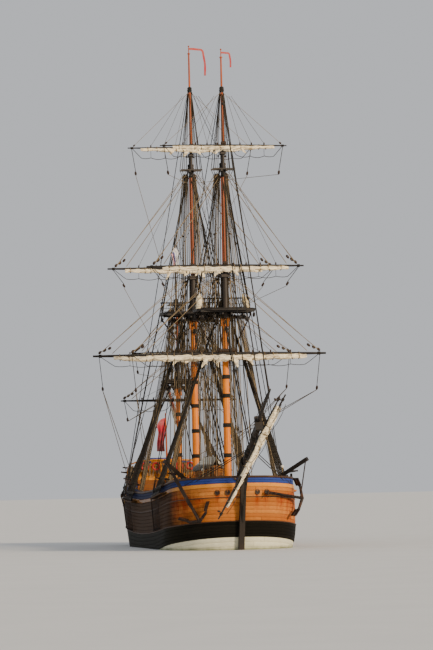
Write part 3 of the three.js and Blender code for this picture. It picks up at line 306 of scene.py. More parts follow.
VARNISH = ((0.4, 0.115, 0.022), (0.55, 0.19, 0.04), (0.66, 0.27, 0.065), (0.47, 0.145, 0.028))
RAIL_VARNISH = ((0.72, 0.25, 0.03), (0.8, 0.33, 0.05))
INNER_WOOD = ((0.2, 0.07, 0.02), (0.27, 0.1, 0.03))
WALE_BLACK = ((0.008, 0.0075, 0.006), (0.014, 0.012, 0.009))
BOTTOM_WHITE = ((0.72, 0.69, 0.5), (0.78, 0.75, 0.56))
BLUE = ((0.03, 0.055, 0.23), (0.042, 0.07, 0.28))
OILED_WOOD = ((0.17, 0.085, 0.035), (0.23, 0.12, 0.05))
RED_SPAR = ((0.42, 0.075, 0.005), (0.25, 0.033, 0.003))
MAT = {
    # the starboard_shade amounts below set how much painted shade darkens the starboard side
    "topside": planked("varnished_topside", VARNISH, (0.04, 0.016, 0.006), stained=True, starboard_shade=0.92),
    "rail": planked("rail_varnish", RAIL_VARNISH, (0.1, 0.04, 0.01), coat=0.3, starboard_shade=0.72),
    "inside": planked("inner_planks", INNER_WOOD, (0.04, 0.016, 0.008)),
    "wale": planked("black_wale", WALE_BLACK, (0.003, 0.003, 0.003), roughness=0.8, starboard_shade=0.6),
    "bottom": planked("white_bottom", BOTTOM_WHITE, (0.4, 0.38, 0.26), waterline=True),
    "blue": planked("blue_band", BLUE, (0.008, 0.012, 0.04), starboard_shade=0.75),
    "old": planked("oiled_wood", OILED_WOOD, (0.03, 0.015, 0.008), length=3),
    "black": painted("black_spar_paint", (0.012, 0.009, 0.007), (0.045, 0.028, 0.016)),
    "stem": painted("black_stem", (0.02, 0.015, 0.011), (0.07, 0.04, 0.022), scale=2.2),
    "bead": painted("dark_bead", (0.05, 0.022, 0.01), (0.1, 0.05, 0.02)),
    "iron": painted("rusty_iron", (0.022, 0.018, 0.016), (0.12, 0.045, 0.018), 0.62, 5, 0.55, 0.5),
    "brass": painted("old_brass", (0.42, 0.27, 0.08), (0.18, 0.11, 0.04), 0.35, 6, 0.85),
    "red": painted("red_paint", (0.42, 0.025, 0.015), (0.22, 0.02, 0.012)),
    "white": painted("white_paint", (0.7, 0.67, 0.58), (0.5, 0.44, 0.34)),
    "yellow": painted("ochre_paint", (0.62, 0.34, 0.06), (0.42, 0.2, 0.04)),
    "wood": spar("block_wood", (0.05, 0.027, 0.012), (0.025, 0.012, 0.006)),
    "top_red": spar("topmast_varnish_plain", *RED_SPAR),
    "tar": rope("tarred_rope", (0.035, 0.028, 0.02), (0.01, 0.008, 0.006)),
    "hemp": rope("hemp_rope", (0.27, 0.2, 0.115), (0.11, 0.075, 0.04)),
    "brown": rope("old_hemp_rope", (0.075, 0.055, 0.03), (0.028, 0.02, 0.011)),
    "sail": canvas("furled_canvas", (0.93, 0.81, 0.57), (0.42, 0.29, 0.14), 0.8),
    # the boat cover below the height 3.08 is darkened as painted shade
    "cover": canvas("boat_canvas", (0.64, 0.59, 0.47), (0.36, 0.32, 0.24), 0.5, 3.08),
    "stow": canvas("stowed_staysail", (0.62, 0.5, 0.3), (0.36, 0.26, 0.14)),
    "deck": decking(),
    "glass": glazing(),
    "ensign": cloth("ensign_red", ((0.0, (0.46, 0.01, 0.035)), (0.62, (0.27, 0.006, 0.02)))),
    "pennant": cloth("pennant_red", ((0.0, (0.5, 0.06, 0.05)), (0.5, (0.46, 0.03, 0.04)))),
    "signal": cloth("signal_stripes", (
        (0.0, (0.78, 0.77, 0.78)), (0.5, (0.1, 0.13, 0.38)), (0.72, (0.75, 0.4, 0.42))), along=1),
}
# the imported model's slot for each material, unless a piece names another
SLOTS = {
    "topside": "varnished_side", "rail": "varnished_side", "inside": "varnished_side",
    "yellow": "varnished_side", "white": "varnished_side", "wale": "wale_paint",
    "bottom": "bottom_paint", "blue": "blue_paint",
    "red": "blue_paint", "glass": "blue_paint", "bead": "dark_wood", "old": "dark_wood", "wood": "dark_wood",
    "black": "black_paint", "iron": "iron", "brass": "iron", "top_red": "dark_varnish", "tar": "tarred_rope",
    "hemp": "tarred_rope", "brown": "tarred_rope", "sail": "sail_canvas", "stow": "sail_canvas",
    "cover": "boat_canvas",
}


# mesh making


def circle(count, start=0.0):
    """The cosine and sine at even steps of a turn."""
    angles = [start + math.tau * k / count for k in range(count)]
    return [(math.cos(a), math.sin(a)) for a in angles]


def evenly(first, last, count):
    return [first + (last - first) * i / (count - 1) for i in range(count)]


def along_x(direction, second="Z"):
    """The turn that lays the X axis along a direction."""
    return direction.to_track_quat("X", second).to_matrix()


class Maker:
    """Gathers joined shapes, in metres of the full-size ship, into one mesh with a UV map."""

    def __init__(self):
        self.points, self.faces, self.uvs, self.stain = [], [], [], []

    def rings(self, rings, caps=True, us=None, vs=None, stain=None):
        """Skins a row of equally long point rings. us and vs are the UV places along and round."""
        base, count = len(self.points), len(rings[0])
        for ring in rings:
            self.points.extend(ring)
        self.stain.extend(stain if stain else [0.0] * (len(rings) * count))
        if us is None:
            us = [0.0]
            for a, b in zip(rings, rings[1:]):
                us.append(us[-1] + (Vector(b[0]) - Vector(a[0])).length)
        if vs is None:
            vs = [0.0]
            for k in range(count):
                vs.append(vs[-1] + (Vector(rings[0][(k + 1) % count]) - Vector(rings[0][k])).length)
        for i in range(len(rings) - 1):
            for j in range(count):
                a, b = base + i * count + j, base + i * count + (j + 1) % count
                self.faces.append((a, b, b + count, a + count))
                corners = ((i, j), (i, j + 1), (i + 1, j + 1), (i + 1, j))
                self.uvs.append(tuple((us[u], vs[v]) for u, v in corners))
        if caps:
            for first, u, order in ((base, us[0], -1), (base + (len(rings) - 1) * count, us[-1], 1)):
                self.faces.append(tuple(first + k for k in range(count))[::order])
                self.uvs.append(tuple((u, vs[k]) for k in range(count))[::order])

    def tube(self, points, radius, sides=6):
        points = [Vector(p) for p in points]
        radii = radius if isinstance(radius, list) else [radius] * len(points)
        side = (points[1] - points[0]).normalized().orthogonal().normalized()
        rings = []
        for i, point in enumerate(points):
            ahead = (points[min(i + 1, len(points) - 1)] - points[max(i - 1, 0)]).normalized()
            side = (side - ahead * side.dot(ahead)).normalized()
            other = ahead.cross(side)
            rings.append([point + (side * c + other * s) * radii[i] for c, s in circle(sides)])
        self.rings(rings)

    def line(self, start, end, steps, radius, sides=5):
        """A straight rope in short steps."""
        self.tube([start.lerp(end, i / steps) for i in range(steps + 1)], radius, sides)

    def loop(self, points, radius, sides=6):
        """A closed ring of rope or bar through the points."""
        points = [Vector(p) for p in points]
        count = len(points)
        middle = sum(points, Vector()) / count
        spokes = [p - middle for p in points]
        normal = sum((spokes[i].cross(spokes[(i + 1) % count]) for i in range(count)), Vector())
        normal.normalize()
        rings = []
        for i, point in enumerate(points + points[:1]):
            i %= count
            ahead = (points[(i + 1) % count] - points[i - 1]).normalized()
            out = ahead.cross(normal)
            rings.append([point + (out * c + normal * s) * radius for c, s in circle(sides)])
        self.rings(rings, caps=False)

    def turn(self, profile, base, axis=UP, sides=16):
        """A turned shape. Its profile is a list of [radius, height along the axis]."""
        axis = Vector(axis).normalized()
        side = axis.orthogonal().normalized()
        other = axis.cross(side)
        rings = []
        for radius, height in profile:
            middle = Vector(base) + axis * height
            rings.append([middle + (side * c + other * s) * radius for c, s in circle(sides)])
        self.rings(rings)

    def block(self, centre, size, turn=None, chamfer=0.02):
        """A squared piece with its edges taken off."""
        half = [s / 2 for s in size]
        edge = min(chamfer, min(half) * 0.6)
        turn = turn or Matrix.Identity(3)
        rings = []
        for level, inset in ((-half[2], edge), (-half[2] + edge, 0), (half[2] - edge, 0), (half[2], edge)):
            x, y = half[0] - inset, half[1] - inset
            ring = [(x, y - edge), (x - edge, y), (-x + edge, y), (-x, y - edge),
                    (-x, -y + edge), (-x + edge, -y), (x - edge, -y), (x, -y + edge)]
            rings.append([Vector(centre) + turn @ Vector((px, py, level)) for px, py in ring])
        self.rings(rings)

    def beam(self, start, end, extra, width, height, rise=Vector()):
        """A squared timber between two places, longer by extra."""
        length = (end - start).length + extra
        self.block((start + end) / 2 + rise, (length, width, height), along_x((end - start).normalized()))

    def pulley(self, centre, along, size=0.16, shell_turn=0.0):
        """A wooden block: a cheeked shell in its rope strop. along is the way the rope pulls it."""
        centre, along = Vector(centre), Vector(along).normalized()
        across = Matrix.Rotation(shell_turn, 3, along) @ along.orthogonal().normalized()
        third = along.cross(across)
        rings = []
        for step in range(7):
            t = -1 + step / 3
            bulge = math.sqrt(max(1 - abs(t) ** 2.6, 0.02))
            middle = centre + along * t * size
            ring = [middle + (across * c * 0.78 + third * s * 0.5) * size * bulge for c, s in circle(8)]
            rings.append(ring)
        self.rings(rings)
        strop = [centre + (along * c * 1.06 + third * s * 0.55) * size for c, s in circle(10)]
        self.loop(strop, size * 0.13, 5)

    def build(self, name, material, body="ship", slot=None, sharp=38):
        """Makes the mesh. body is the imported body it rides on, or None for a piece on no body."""
        mesh = bpy.data.meshes.new(name)
        mesh.from_pydata([tuple(c * K for c in p) for p in self.points], [], self.faces)
        layer = mesh.uv_layers.new(name="UVMap")
        layer.data.foreach_set("uv", [c for face in self.uvs for place in face for c in place])
        if any(self.stain):
            mesh.attributes.new("stain", "FLOAT", "POINT").data.foreach_set("value", self.stain)
        mesh.polygons.foreach_set("use_smooth", [True] * len(self.faces))
        mesh.set_sharp_from_angle(angle=math.radians(sharp))
        mesh.materials.append(MAT[material])
        made = add_object(name, mesh)
        if body:
            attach(made, body)
        slot = slot or SLOTS.get(material)
        return made


# hull form

LEVELS = [  # height, fore end, aft end, half breadth, length of entry, of run, half breadth at the aft end
    (-3.1, 13.4, -14.2, 2.3, 6.5, 12.0, 0.2),
    (-2.7, 14.15, -14.24, 3.5, 6.6, 12.0, 0.2),
    (-2.0, 14.75, -14.32, 4.15, 6.5, 11.5, 0.2),
    (-1.0, 15.1, -14.44, 4.5, 6.1, 10.5, 0.24),
    (0.0, 15.3, -14.55, 4.62, 5.5, 9.5, 0.45),
    (1.0, 15.55, -14.66, 4.65, 5.0, 9.0, 1.3),
    (1.8, 15.78, -14.75, 4.65, 4.8, 8.5, 2.35),
    (2.6, 16.05, -15.75, 4.6, 4.75, 9.0, 2.95),
    (3.6, 16.35, -16.15, 4.5, 4.75, 9.0, 3.05),
    (5.0, 16.7, -16.45, 4.32, 4.8, 9.0, 2.95),
    (7.0, 17.2, -16.9, 4.1, 4.9, 9.0, 2.7),
]
SHEER = [  # x, then the heights of the bottom paint, wale top, main deck, rail and bulwark top
    (16.6, 1.06, 2.08, 3.0, 4.64, 5.06),
    (13.5, 0.62, 1.72, 2.95, 4.42, 4.88),
    (10.0, 0.2, 1.42, 2.86, 4.12, 4.62),
    (5.5, -0.2, 1.14, 2.74, 3.74, 4.24),
    (0.0, -0.4, 1.02, 2.68, 3.56, 4.06),
    (-5.0, -0.3, 1.16, 2.72, 3.66, 4.16),
    (-11.0, 0.1, 1.6, 2.88, 4.06, 5.1),
    (-17.2, 0.7, 2.32, 3.1, 4.62, 5.9),
]
HALF_STEM = 0.19
BOW_END, BODY_END, LAST = 9, 13, 20  # stations where the bow's turn, the straight body and the run end
BOW_POWER = 2 / 2.15


def between(table, value, column):
    rising = table[1][0] > table[0][0]
    i = 0
    while i < len(table) - 2 and (value > table[i + 1][0] if rising else value < table[i + 1][0]):
        i += 1
    share = (value - table[i][0]) / (table[i + 1][0] - table[i][0])
    return table[i][column] + (table[i + 1][column] - table[i][column]) * share


def line(column, rise=0.0):
    return lambda x: between(SHEER, x, column) + rise


PAINT, WALE, DECK, RAIL, CAP = (line(i) for i in range(1, 6))


def outline_point(station, z):
    """The port outline at a height, at a station counted from the stem."""
    fore, aft, half, entry, run, end = (between(LEVELS, z, i) for i in range(1, 7))
    if station <= BOW_END:
        turn = max(station, 0) / BOW_END * math.pi / 2
        along = max(math.cos(turn), 0) ** BOW_POWER
        return fore - entry * (1 - along), HALF_STEM + (half - HALF_STEM) * math.sin(turn) ** BOW_POWER
    if station <= BODY_END:
        return fore - entry + (aft + run - fore + entry) * (station - BOW_END) / (BODY_END - BOW_END), half
    share = (station - BODY_END) / (LAST - BODY_END)
    return aft + run * (1 - share), end + (half - end) * (1 - share**2)


def hull_point(station, height_at, inset, side=1):
    """A point of the hull's side on a sheer line, moved in from the skin by inset."""
    z = height_at(0)
    for _ in range(5):
        z = height_at(outline_point(station, z)[0])
    x, y = outline_point(station, z)
    ahead = outline_point(max(station - 0.02, 0), z)
    behind = outline_point(min(station + 0.02, LAST), z)
    across = Vector((behind[1] - ahead[1], ahead[0] - behind[0]))
    across = Vector((1, 0)) if station == 0 else across.normalized()
    return Vector((x - across.x * inset, side * max(y - across.y * inset, HALF_STEM), z))


def skin_y(x, z):
    """The half breadth of the hull's skin at a place, by halving the stations between its ends."""
    low, high = 0.0, float(LAST)
    for _ in range(24):
        middle = (low + high) / 2
        low, high = (middle, high) if outline_point(middle, z)[0] > x else (low, middle)
    return outline_point(low, z)[1]


STATIONS = [i / 4 for i in range(37)] + [9 + i / 2 for i in range(1, 9)] + [13 + i / 2 for i in range(1, 15)]
GAP = 0.006
PLANK_EDGES = (0.0, 0.02, 0.1, 0.9, 0.98, 1.0, 1.0)


def strip(
        maker, side, low, high, proud, stations=STATIONS, back=0.03, bevel=0.02, plank=0, stain=None,
        outer=0.0):
    """One plank or moulding along the side, between two sheer lines, standing proud of the skin."""
    ring_of = [
        (low, GAP, outer + back), (low, GAP, outer - proud + bevel), (low, GAP + bevel, outer - proud),
        (high, -GAP - bevel, outer - proud), (high, -GAP, outer - proud + bevel), (high, -GAP, outer + back),
    ]
    rings, marks = [], []
    for station in stations:
        ring = []
        for at, rise, inset in ring_of:
            ring.append(hull_point(station, lambda x: at(x) + rise, inset, side))
        rings.append(ring)
        marks.extend(stain(p) if stain else 0.0 for p in ring)
    us = [0.0]
    for a, b in zip(rings, rings[1:]):
        us.append(us[-1] + (b[2] - a[2]).length)
    maker.rings(rings, us=us, vs=[plank + v for v in PLANK_EDGES], stain=marks)


def strakes(maker, low, high, count, proud, first=0, **options):
    """Equal planks, one over the other, between two sheer lines on both sides."""
    at = lambda share: (lambda x: low(x) + (high(x) - low(x)) * share)
    for side in SIDES:
        for row in range(count):
            plank = first + row + 40 * (side < 0)
            strip(maker, side, at(row / count), at((row + 1) / count), proud, plank=plank, **options)


HAWSE = [(1.05, 4.02), (1.72, 4.02)]  # distance off the centreline and height of the hawse holes
RUST = [  # distance off the centreline, height, width and depth of the rusty streaks at the bow
    (1.05, 3.85, 0.16, 1.5), (1.72, 3.85, 0.16, 1.4), (3.9, 3.7, 0.55, 1.9), (2.9, 3.6, 0.3, 1.2),
]


def rust_at(point):
    """How rusty the side is: below the hawse holes, and redder towards the turn of the bow."""
    amount = 0.0
    for y, z, wide, deep in RUST:
        if point.x > 12 and point.z < z + 0.1:
            off = (abs(point.y) - y) / wide
            amount = max(amount, math.exp(-off * off) * max(1 - (z - point.z) / deep, 0))
    turn = min(max((15.4 - point.x) / 3, 0), 1)
    upper = min(max((point.z - 3.2) / 1.0, 0), 1)
    return min(amount * 1.1 + turn * 0.6 + upper * 0.3 * (0.4 + turn), 0.95)


def make_sides():
    topside, rail, wale, bottom, blue, bead, inside = (Maker() for _ in range(7))
    rail_low = line(4, -0.26)
    strakes(topside, WALE, rail_low, 9, 0.035, stain=rust_at)
    strakes(wale, PAINT, WALE, 5, 0.09, first=11)
    strakes(bottom, lambda x: -3.1, PAINT, 12, 0.03, first=20)
    strakes(blue, line(4, 0.03), line(5, -0.03), 2, 0.035, first=3)
    inner = [s for s in STATIONS if s > 0.7]
    board = lambda row: (lambda x: DECK(x) + 0.1 + (CAP(x) - 0.12 - DECK(x) - 0.1) * row / 5)
    for side in SIDES:
        strip(rail, side, rail_low, line(4, 0.02), 0.085, bevel=0.03, plank=2)
        strip(bead, side, line(4, -0.98), line(4, -0.9), 0.075, bevel=0.03)
        strip(bead, side, line(2, -0.02), line(2, 0.06), 0.12, bevel=0.035)
        strip(bead, side, line(5, -0.05), line(5, 0.1), 0.13, bevel=0.04, back=0.24)
        for row in range(5):
            options = dict(stations=inner, outer=0.16, back=-0.01, bevel=-0.01, plank=row)
            strip(inside, side, board(row), board(row + 1), -0.025, **options)
    topside.build("topside_planks", "topside")
    rail.build("rail_planks", "rail")
    wale.build("wale_planks", "wale")
    bottom.build("bottom_planks", "bottom")
    blue.build("bulwark_planks", "blue")
    bead.build("side_mouldings", "bead")
    inside.build("inner_bulwark_planks", "inside")


def make_bow():
    """Hawse holes with their bolsters."""
    wood, hole = Maker(), Maker()
    bolster = [
        (0.17, -0.02), (0.2, 0.0), (0.2, 0.05), (0.18, 0.08), (0.15, 0.08), (0.13, 0.05), (0.13, -0.02)]
    for side in SIDES:
        for y, z in HAWSE:
            station = next(s for s in (i / 50 for i in range(450)) if outline_point(s, z)[1] > y)
            point = hull_point(station, lambda x: z, 0.0, side)
            near = hull_point(station + 0.1, lambda x: z, 0.0, side)
            out = (near - point).cross(Vector((0, 0, side))).normalized()
            out = out if out.x > 0 else -out
            wood.turn(bolster, point, out, 20)
            hole.turn([(0.14, -0.02), (0.135, 0.055), (0.05, 0.045)], point, out)
    wood.build("hawse_bolsters", "bead", slot="varnished_side")
    hole.build("hawse_liners", "iron")


make_sides()
make_bow()


# decks and their fittings


def fore_deck(x):
    return 3.72 + (x - 16) * 0.03


def after_deck(x):
    return 3.3 + (-4.6 - x) * 0.066


def waist_deck(x):
    return DECK(x) + 0.08


def deck_at(x):
    return fore_deck(x) if x > 8.6 else after_deck(x) if x < -4.6 else waist_deck(x)


def inner_y(x, z):
    return skin_y(x, z) - 0.2


def balustrade(maker, start, end, height, posts):
    """A rail on turned stanchions between two places on deck."""
    start, end = Vector(start), Vector(end)
    profile = [
        (0.05, 0), (0.05, 0.08), (0.03, 0.12), (0.045, height * 0.45), (0.03, height * 0.75), (0.045, height)]
    for i in range(posts):
        maker.turn(profile, start.lerp(end, i / (posts - 1)), sides=8)
    thick = 0.09
    maker.beam(start, end, 0.12, thick * 1.6, thick, Vector((0, 0, height + thick / 2)))


def ladder(maker, foot, head, width=0.9, steps=4):
    foot, head = Vector(foot), Vector(head)
    turn = along_x((head - foot).normalized(), "Y") @ Matrix.Rotation(math.pi / 2, 3, "X")
    for side in SIDES:
        middle = (foot + head) / 2 + Vector((0, width / 2, 0)) * side
        maker.block(middle, ((head - foot).length + 0.1, 0.24, 0.07), turn)
    for i in range(steps):
        maker.block(foot.lerp(head, (i + 0.6) / steps), (0.26, width - 0.06, 0.05))


def coil(maker, centre, radius=0.22, turns=3, rope_radius=0.025):
    """A coil of rope lying flat."""
    points = []
    for i in range(turns * 14 + 1):
        angle = math.tau * i / 14
        wide = radius - rope_radius * 1.3 * (i / 14)
        high = rope_radius + 0.012 * (i / 14)
        points.append(Vector(centre) + Vector((math.cos(angle) * wide, math.sin(angle) * wide, high)))
    maker.tube(points, rope_radius, 5)


def hank(maker, pin, length, out):
    """A coil hung on a belaying pin: three long loops."""
    pin, out = Vector(pin), Vector(out)
    along = out.cross(UP)
    for k in range(3):
        wide = 0.1 + 0.03 * k
        reach = length * (0.85 + 0.1 * k)
        ring = []
        for c, s in circle(12):
            sway = along * wide * s * (1.1 - 0.4 * c)
            ring.append(pin + out * (0.06 + 0.03 * k) + sway + Vector((0, 0, -reach / 2 + reach / 2 * c)))
        maker.loop(ring, 0.022, 5)


BELAYING_PIN = [(0.018, -0.22), (0.02, 0.0), (0.035, 0.05), (0.02, 0.08), (0.032, 0.16), (0.014, 0.22)]


def pin_rail(wood, pins, ropes, start, end, count, out):
    """A rail with belaying pins, two in three of them with a coil."""
    start, end = Vector(start), Vector(end)
    wood.beam(start, end, 0.2, 0.2, 0.09)
    for i in range(count):
        place = start.lerp(end, (i + 0.5) / count)
        pins.turn(BELAYING_PIN, place, sides=7)
        if i % 3 != 1:
            hank(ropes, place + Vector((0, 0, 0.1)), 0.5 + 0.1 * ((i * 7) % 3), out)


FIFE_RAILS = [  # x, height of the deck there, half width
    (10.25, fore_deck(10.25), 0.75), (-2.95, waist_deck(-2.95), 0.8), (-10.35, after_deck(-10.35), 0.55),
]
SIDE_RAILS = [(9.6, 12, 2.6), (-3.6, 12, 2.4), (-10.9, 8, 1.5)]  # middle of each, number of pins, length
BREAKS = [  # x of the break rail, its height, then x and height at the foot and head of its ladders
    (8.75, 0.85, (7.9, waist_deck(7.9)), (8.55, fore_deck(8.6))),
    (-4.75, 0.9, (-4.0, waist_deck(-4.0)), (-4.55, after_deck(-4.6))),
]
GRATINGS = [  # place, length, width
    ((5.9, 0, waist_deck(5.9)), 1.0, 1.5), ((0.3, 0, waist_deck(0.3)), 1.3, 1.8),
    ((-0.9, 0, waist_deck(-0.9)), 0.7, 1.0), ((-9.7, 1.6, after_deck(-9.7)), 0.9, 0.9),
]


def make_decks():
    wood, dark, ropes, pins, tarry = (Maker() for _ in range(5))
    for side in SIDES:
        for x in (14.2 - i * 1.12 for i in range(27)):
            top, foot = CAP(x), deck_at(x) - 0.02
            y = side * (skin_y(x, (foot + top) / 2) - 0.27)
            wood.block((x, y, (foot + top) / 2), (0.16, 0.16, top - foot), chamfer=0.025)
        for middle, count, reach in SIDE_RAILS:
            z = deck_at(middle) + 0.85
            ends = [(x, side * (inner_y(x, z) - 0.2), z) for x in (middle + reach / 2, middle - reach / 2)]
            pin_rail(dark, pins, ropes, *ends, count, (0, -side, 0))
    for x, z, wide in FIFE_RAILS:
        for side in SIDES:
            y = side * wide
            dark.block((x, y, z + 0.5), (0.16, 0.16, 1.06))
            dark.block((x + 0.95, y, z + 0.5), (0.16, 0.16, 1.06))
            pin_rail(dark, pins, ropes, (x + 1.0, y, z + 0.85), (x - 0.05, y, z + 0.85), 5, (0, side, 0))
        pin_rail(dark, pins, ropes, (x - 0.02, -wide, z + 0.93), (x - 0.02, wide, z + 0.93), 6, (-1, 0, 0))
    for x, height, _, _ in BREAKS:
        balustrade(wood, (x, -3.9, deck_at(x)), (x, 3.9, deck_at(x)), height, 13)
    for side in SIDES:
        for _, _, foot, head in BREAKS:
            ladder(wood, (foot[0], side * 2.9, foot[1]), (head[0], side * 2.9, head[1]))
    for place, long, wide in GRATINGS:
        grating(wood, place, long, wide)
    make_deck_houses(wood, dark)
    wood.build("deck_woodwork", "inside")
    dark.build("fife_and_pin_rails", "old")
    pins.build("belaying_pins", "wood")
    for i in range(16):
        x = random.choice([random.uniform(9.2, 13.5), random.uniform(-8, -5.2), random.uniform(-12.5, -10.8)])
        coil(ropes, (x, random.choice([1, -1]) * random.uniform(2.2, 3.2), deck_at(x)))
    for side in SIDES:
        for k in range(34):
            x = 13.6 - 0.62 * k - 0.1 * math.sin(k * 2.2)
            pin = (x, side * (skin_y(x, CAP(x)) - 0.33), CAP(x) + 0.02 + 0.16 * math.sin(k * 1.7) ** 2)
            hank(tarry if k % 3 else ropes, pin, 0.5 + 0.25 * (k % 3), (0, -side, 0))
    for k in range(26):
        pin = (8.95 + 0.03 * (k % 3), -3.5 + 0.28 * k, fore_deck(8.9) + 0.95)
        hank(tarry if k % 4 else ropes, pin, 0.55 + 0.12 * (k % 4), (1, 0, 0))
    tarry.build("tarry_coils", "brown")
    ropes.build("coiled_ropes", "hemp")


def grating(maker, centre, long, wide):
    """A hatch: coaming boards round a lattice."""
    x, y, z = centre
    for s in SIDES:
        maker.block((x + s * long / 2, y, z + 0.16), (0.12, wide + 0.12, 0.34))
        maker.block((x, y + s * wide / 2, z + 0.16), (long + 0.12, 0.12, 0.34))
    for i in range(1, int(long / 0.13)):
        maker.block((x - long / 2 + i * 0.13, y, z + 0.28), (0.05, wide, 0.05), chamfer=0.008)
    for i in range(1, int(wide / 0.13)):
        maker.block((x, y - wide / 2 + i * 0.13, z + 0.3), (long, 0.05, 0.04), chamfer=0.008)


def make_deck_houses(wood, dark):
    """Skylight, companion hatch, binnacle and belfry."""
    on_deck = lambda x, y, rise: (x, y, deck_at(x) + rise)
    wood.block(on_deck(-11.9, 0, 0.35), (1.3, 1.3, 0.72))
    for side in SIDES:
        dark.block(on_deck(-11.9, side * 0.36, 0.88), (1.3, 0.86, 0.06), Matrix.Rotation(side * -0.6, 3, "X"))
    wood.block(on_deck(-5.5, 1.5, 0.4), (0.9, 0.9, 0.84))
    dark.block(on_deck(-5.5, 1.5, 0.85), (1.02, 1.02, 0.08))
    wood.block(on_deck(-6.95, 0, 0.45), (0.42, 0.9, 0.9))
    for side in SIDES:
        dark.block(on_deck(9.15, side * 0.42, 0.75), (0.14, 0.12, 1.5))
    dark.block(on_deck(9.15, 0, 1.5), (0.3, 1.1, 0.1))
    dark.block(on_deck(9.15, 0, 1.64), (0.2, 0.7, 0.18), chamfer=0.08)


BELL = [(0.19, 0.92), (0.17, 0.98), (0.12, 1.1), (0.1, 1.26), (0.03, 1.32), (0.02, 1.46)]
SWIVEL_GUN = [
    (0.03, -0.5), (0.05, -0.46), (0.03, -0.4), (0.075, -0.36), (0.07, 0.1), (0.05, 0.42), (0.07, 0.48),
    (0.04, 0.49),
]
CASK = [(0.28, 0.05), (0.32, 0.2), (0.34, 0.45), (0.32, 0.7), (0.28, 0.85)]
LAMPS = [  # x, y and height of each lamp, and where its post stands
    (9.0, -1.48, 5.66, fore_deck(9.0)), (12.5, 3.66, 5.76, CAP(12.5)),
]


def make_deck_iron():
    """Bell, smoke pipe, swivel guns, life rings, casks, pumps and lamps."""
    brass, iron, red, paint, lamps = (Maker() for _ in range(5))
    brass.turn(BELL, (9.15, 0, fore_deck(9.15)), sides=18)
    z = fore_deck(12.3)
    bend = [(12.3, 0), (12.3, 1.0), (12.32, 1.12), (12.42, 1.2), (12.62, 1.22)]
    iron.tube([(x, 0.9, z + rise) for x, rise in bend], [0.16, 0.14, 0.14, 0.14, 0.17], 14)
    iron.block((12.3, 0.9, z + 0.05), (0.6, 0.6, 0.1))
    for side in SIDES:
        for x in (13.0, 8.9, -5.3, -8.0, -11.4, -14.4):
            top = CAP(x) + 0.08
            y = side * (skin_y(x, top) - 0.06)
            iron.turn([(0.07, -0.35), (0.09, 0.0), (0.09, 0.3), (0.05, 0.34)], (x, y, top), sides=8)
            iron.turn(SWIVEL_GUN, (x, y, top + 0.47), (0, side, 0.12), 10)
        for y in (1.85, 0.95):
            ring = [Vector((-16.0, side * y, 6.2)) + Vector((0, c * 0.27, s * 0.27)) for c, s in circle(20)]
            red.loop(ring, 0.085, 8)
        for x, y in ((-1.2, 3.1), (-1.9, 3.2)):
            paint.turn(CASK, (x, side * y, waist_deck(x)), sides=14)
        pump = [(0.12, 0.0), (0.12, 0.75), (0.15, 0.8), (0.15, 0.95)]
        iron.turn(pump, (-3.4, side * 1.25, waist_deck(-3.4)), sides=12)
    for x, y, z, floor in LAMPS:
        tall = z - floor
        post = [(0.05, 0), (0.025, 0.04), (0.025, tall - 0.16), (0.06, tall - 0.13), (0.06, tall - 0.08)]
        brass.turn(post, (x, y, floor), sides=8)
        lamps.turn([(0.05, -0.1), (0.1, -0.06), (0.12, 0.0), (0.1, 0.07), (0.04, 0.11)], (x, y, z), sides=12)
    lamps.build("deck_lamps", "white")
    brass.build("ship_bell", "brass")
    iron.build("deck_ironwork", "iron")
    red.build("life_rings", "red")
    paint.build("water_casks", "old")


make_decks()
make_deck_iron()


# stern

WINDOWS_LOW, WINDOWS_TOP = 3.42, 4.62  # heights of the row of windows
TRANSOM_DEPTH = 0.2
WINDOW_PITCH = 1.12
TRANSOM_ROWS = [  # height and half width at the edges of the planks
    (2.56, 2.95), (2.85, 3.0), (3.14, 3.08), (WINDOWS_LOW, 3.1), (WINDOWS_TOP, 3.0), (4.9, 2.96), (5.2, 2.9),
    (5.5, 2.84), (5.8, 2.7),
]
COUNTER_LOW, COUNTER_ROW = 1.86, 0.22
RUDDER_GAP = 0.36
BALUSTER_FOOT = [(0.045, 0), (0.03, 0.1)]


def aft_x(z):
    return between(LEVELS, z, 2)


def stern_plank(maker, low, high, depth, proud, plank, gap=0.0):
    """A plank across the stern, from height and half width low to high. gap leaves room for the rudder."""
    for side, inner in ((1, gap), (-1, gap)) if gap else ((0, 0),):
        rings = []
        for t in (i / 8 for i in range(9)):
            ring = []
            for z, wide in ((low[0] + 0.008, low[1]), (high[0] - 0.008, high[1])):
                y = (-wide + 2 * wide * t) if side == 0 else side * (inner + (wide - inner) * t)
                ring += [Vector((aft_x(z) - depth + out, y, z)) for out in (0.02, -proud)]
            rings.append([ring[0], ring[1], ring[3], ring[2]])
        maker.rings(rings, vs=[plank, plank + 0.1, plank + 0.9, plank + 1, plank + 1])


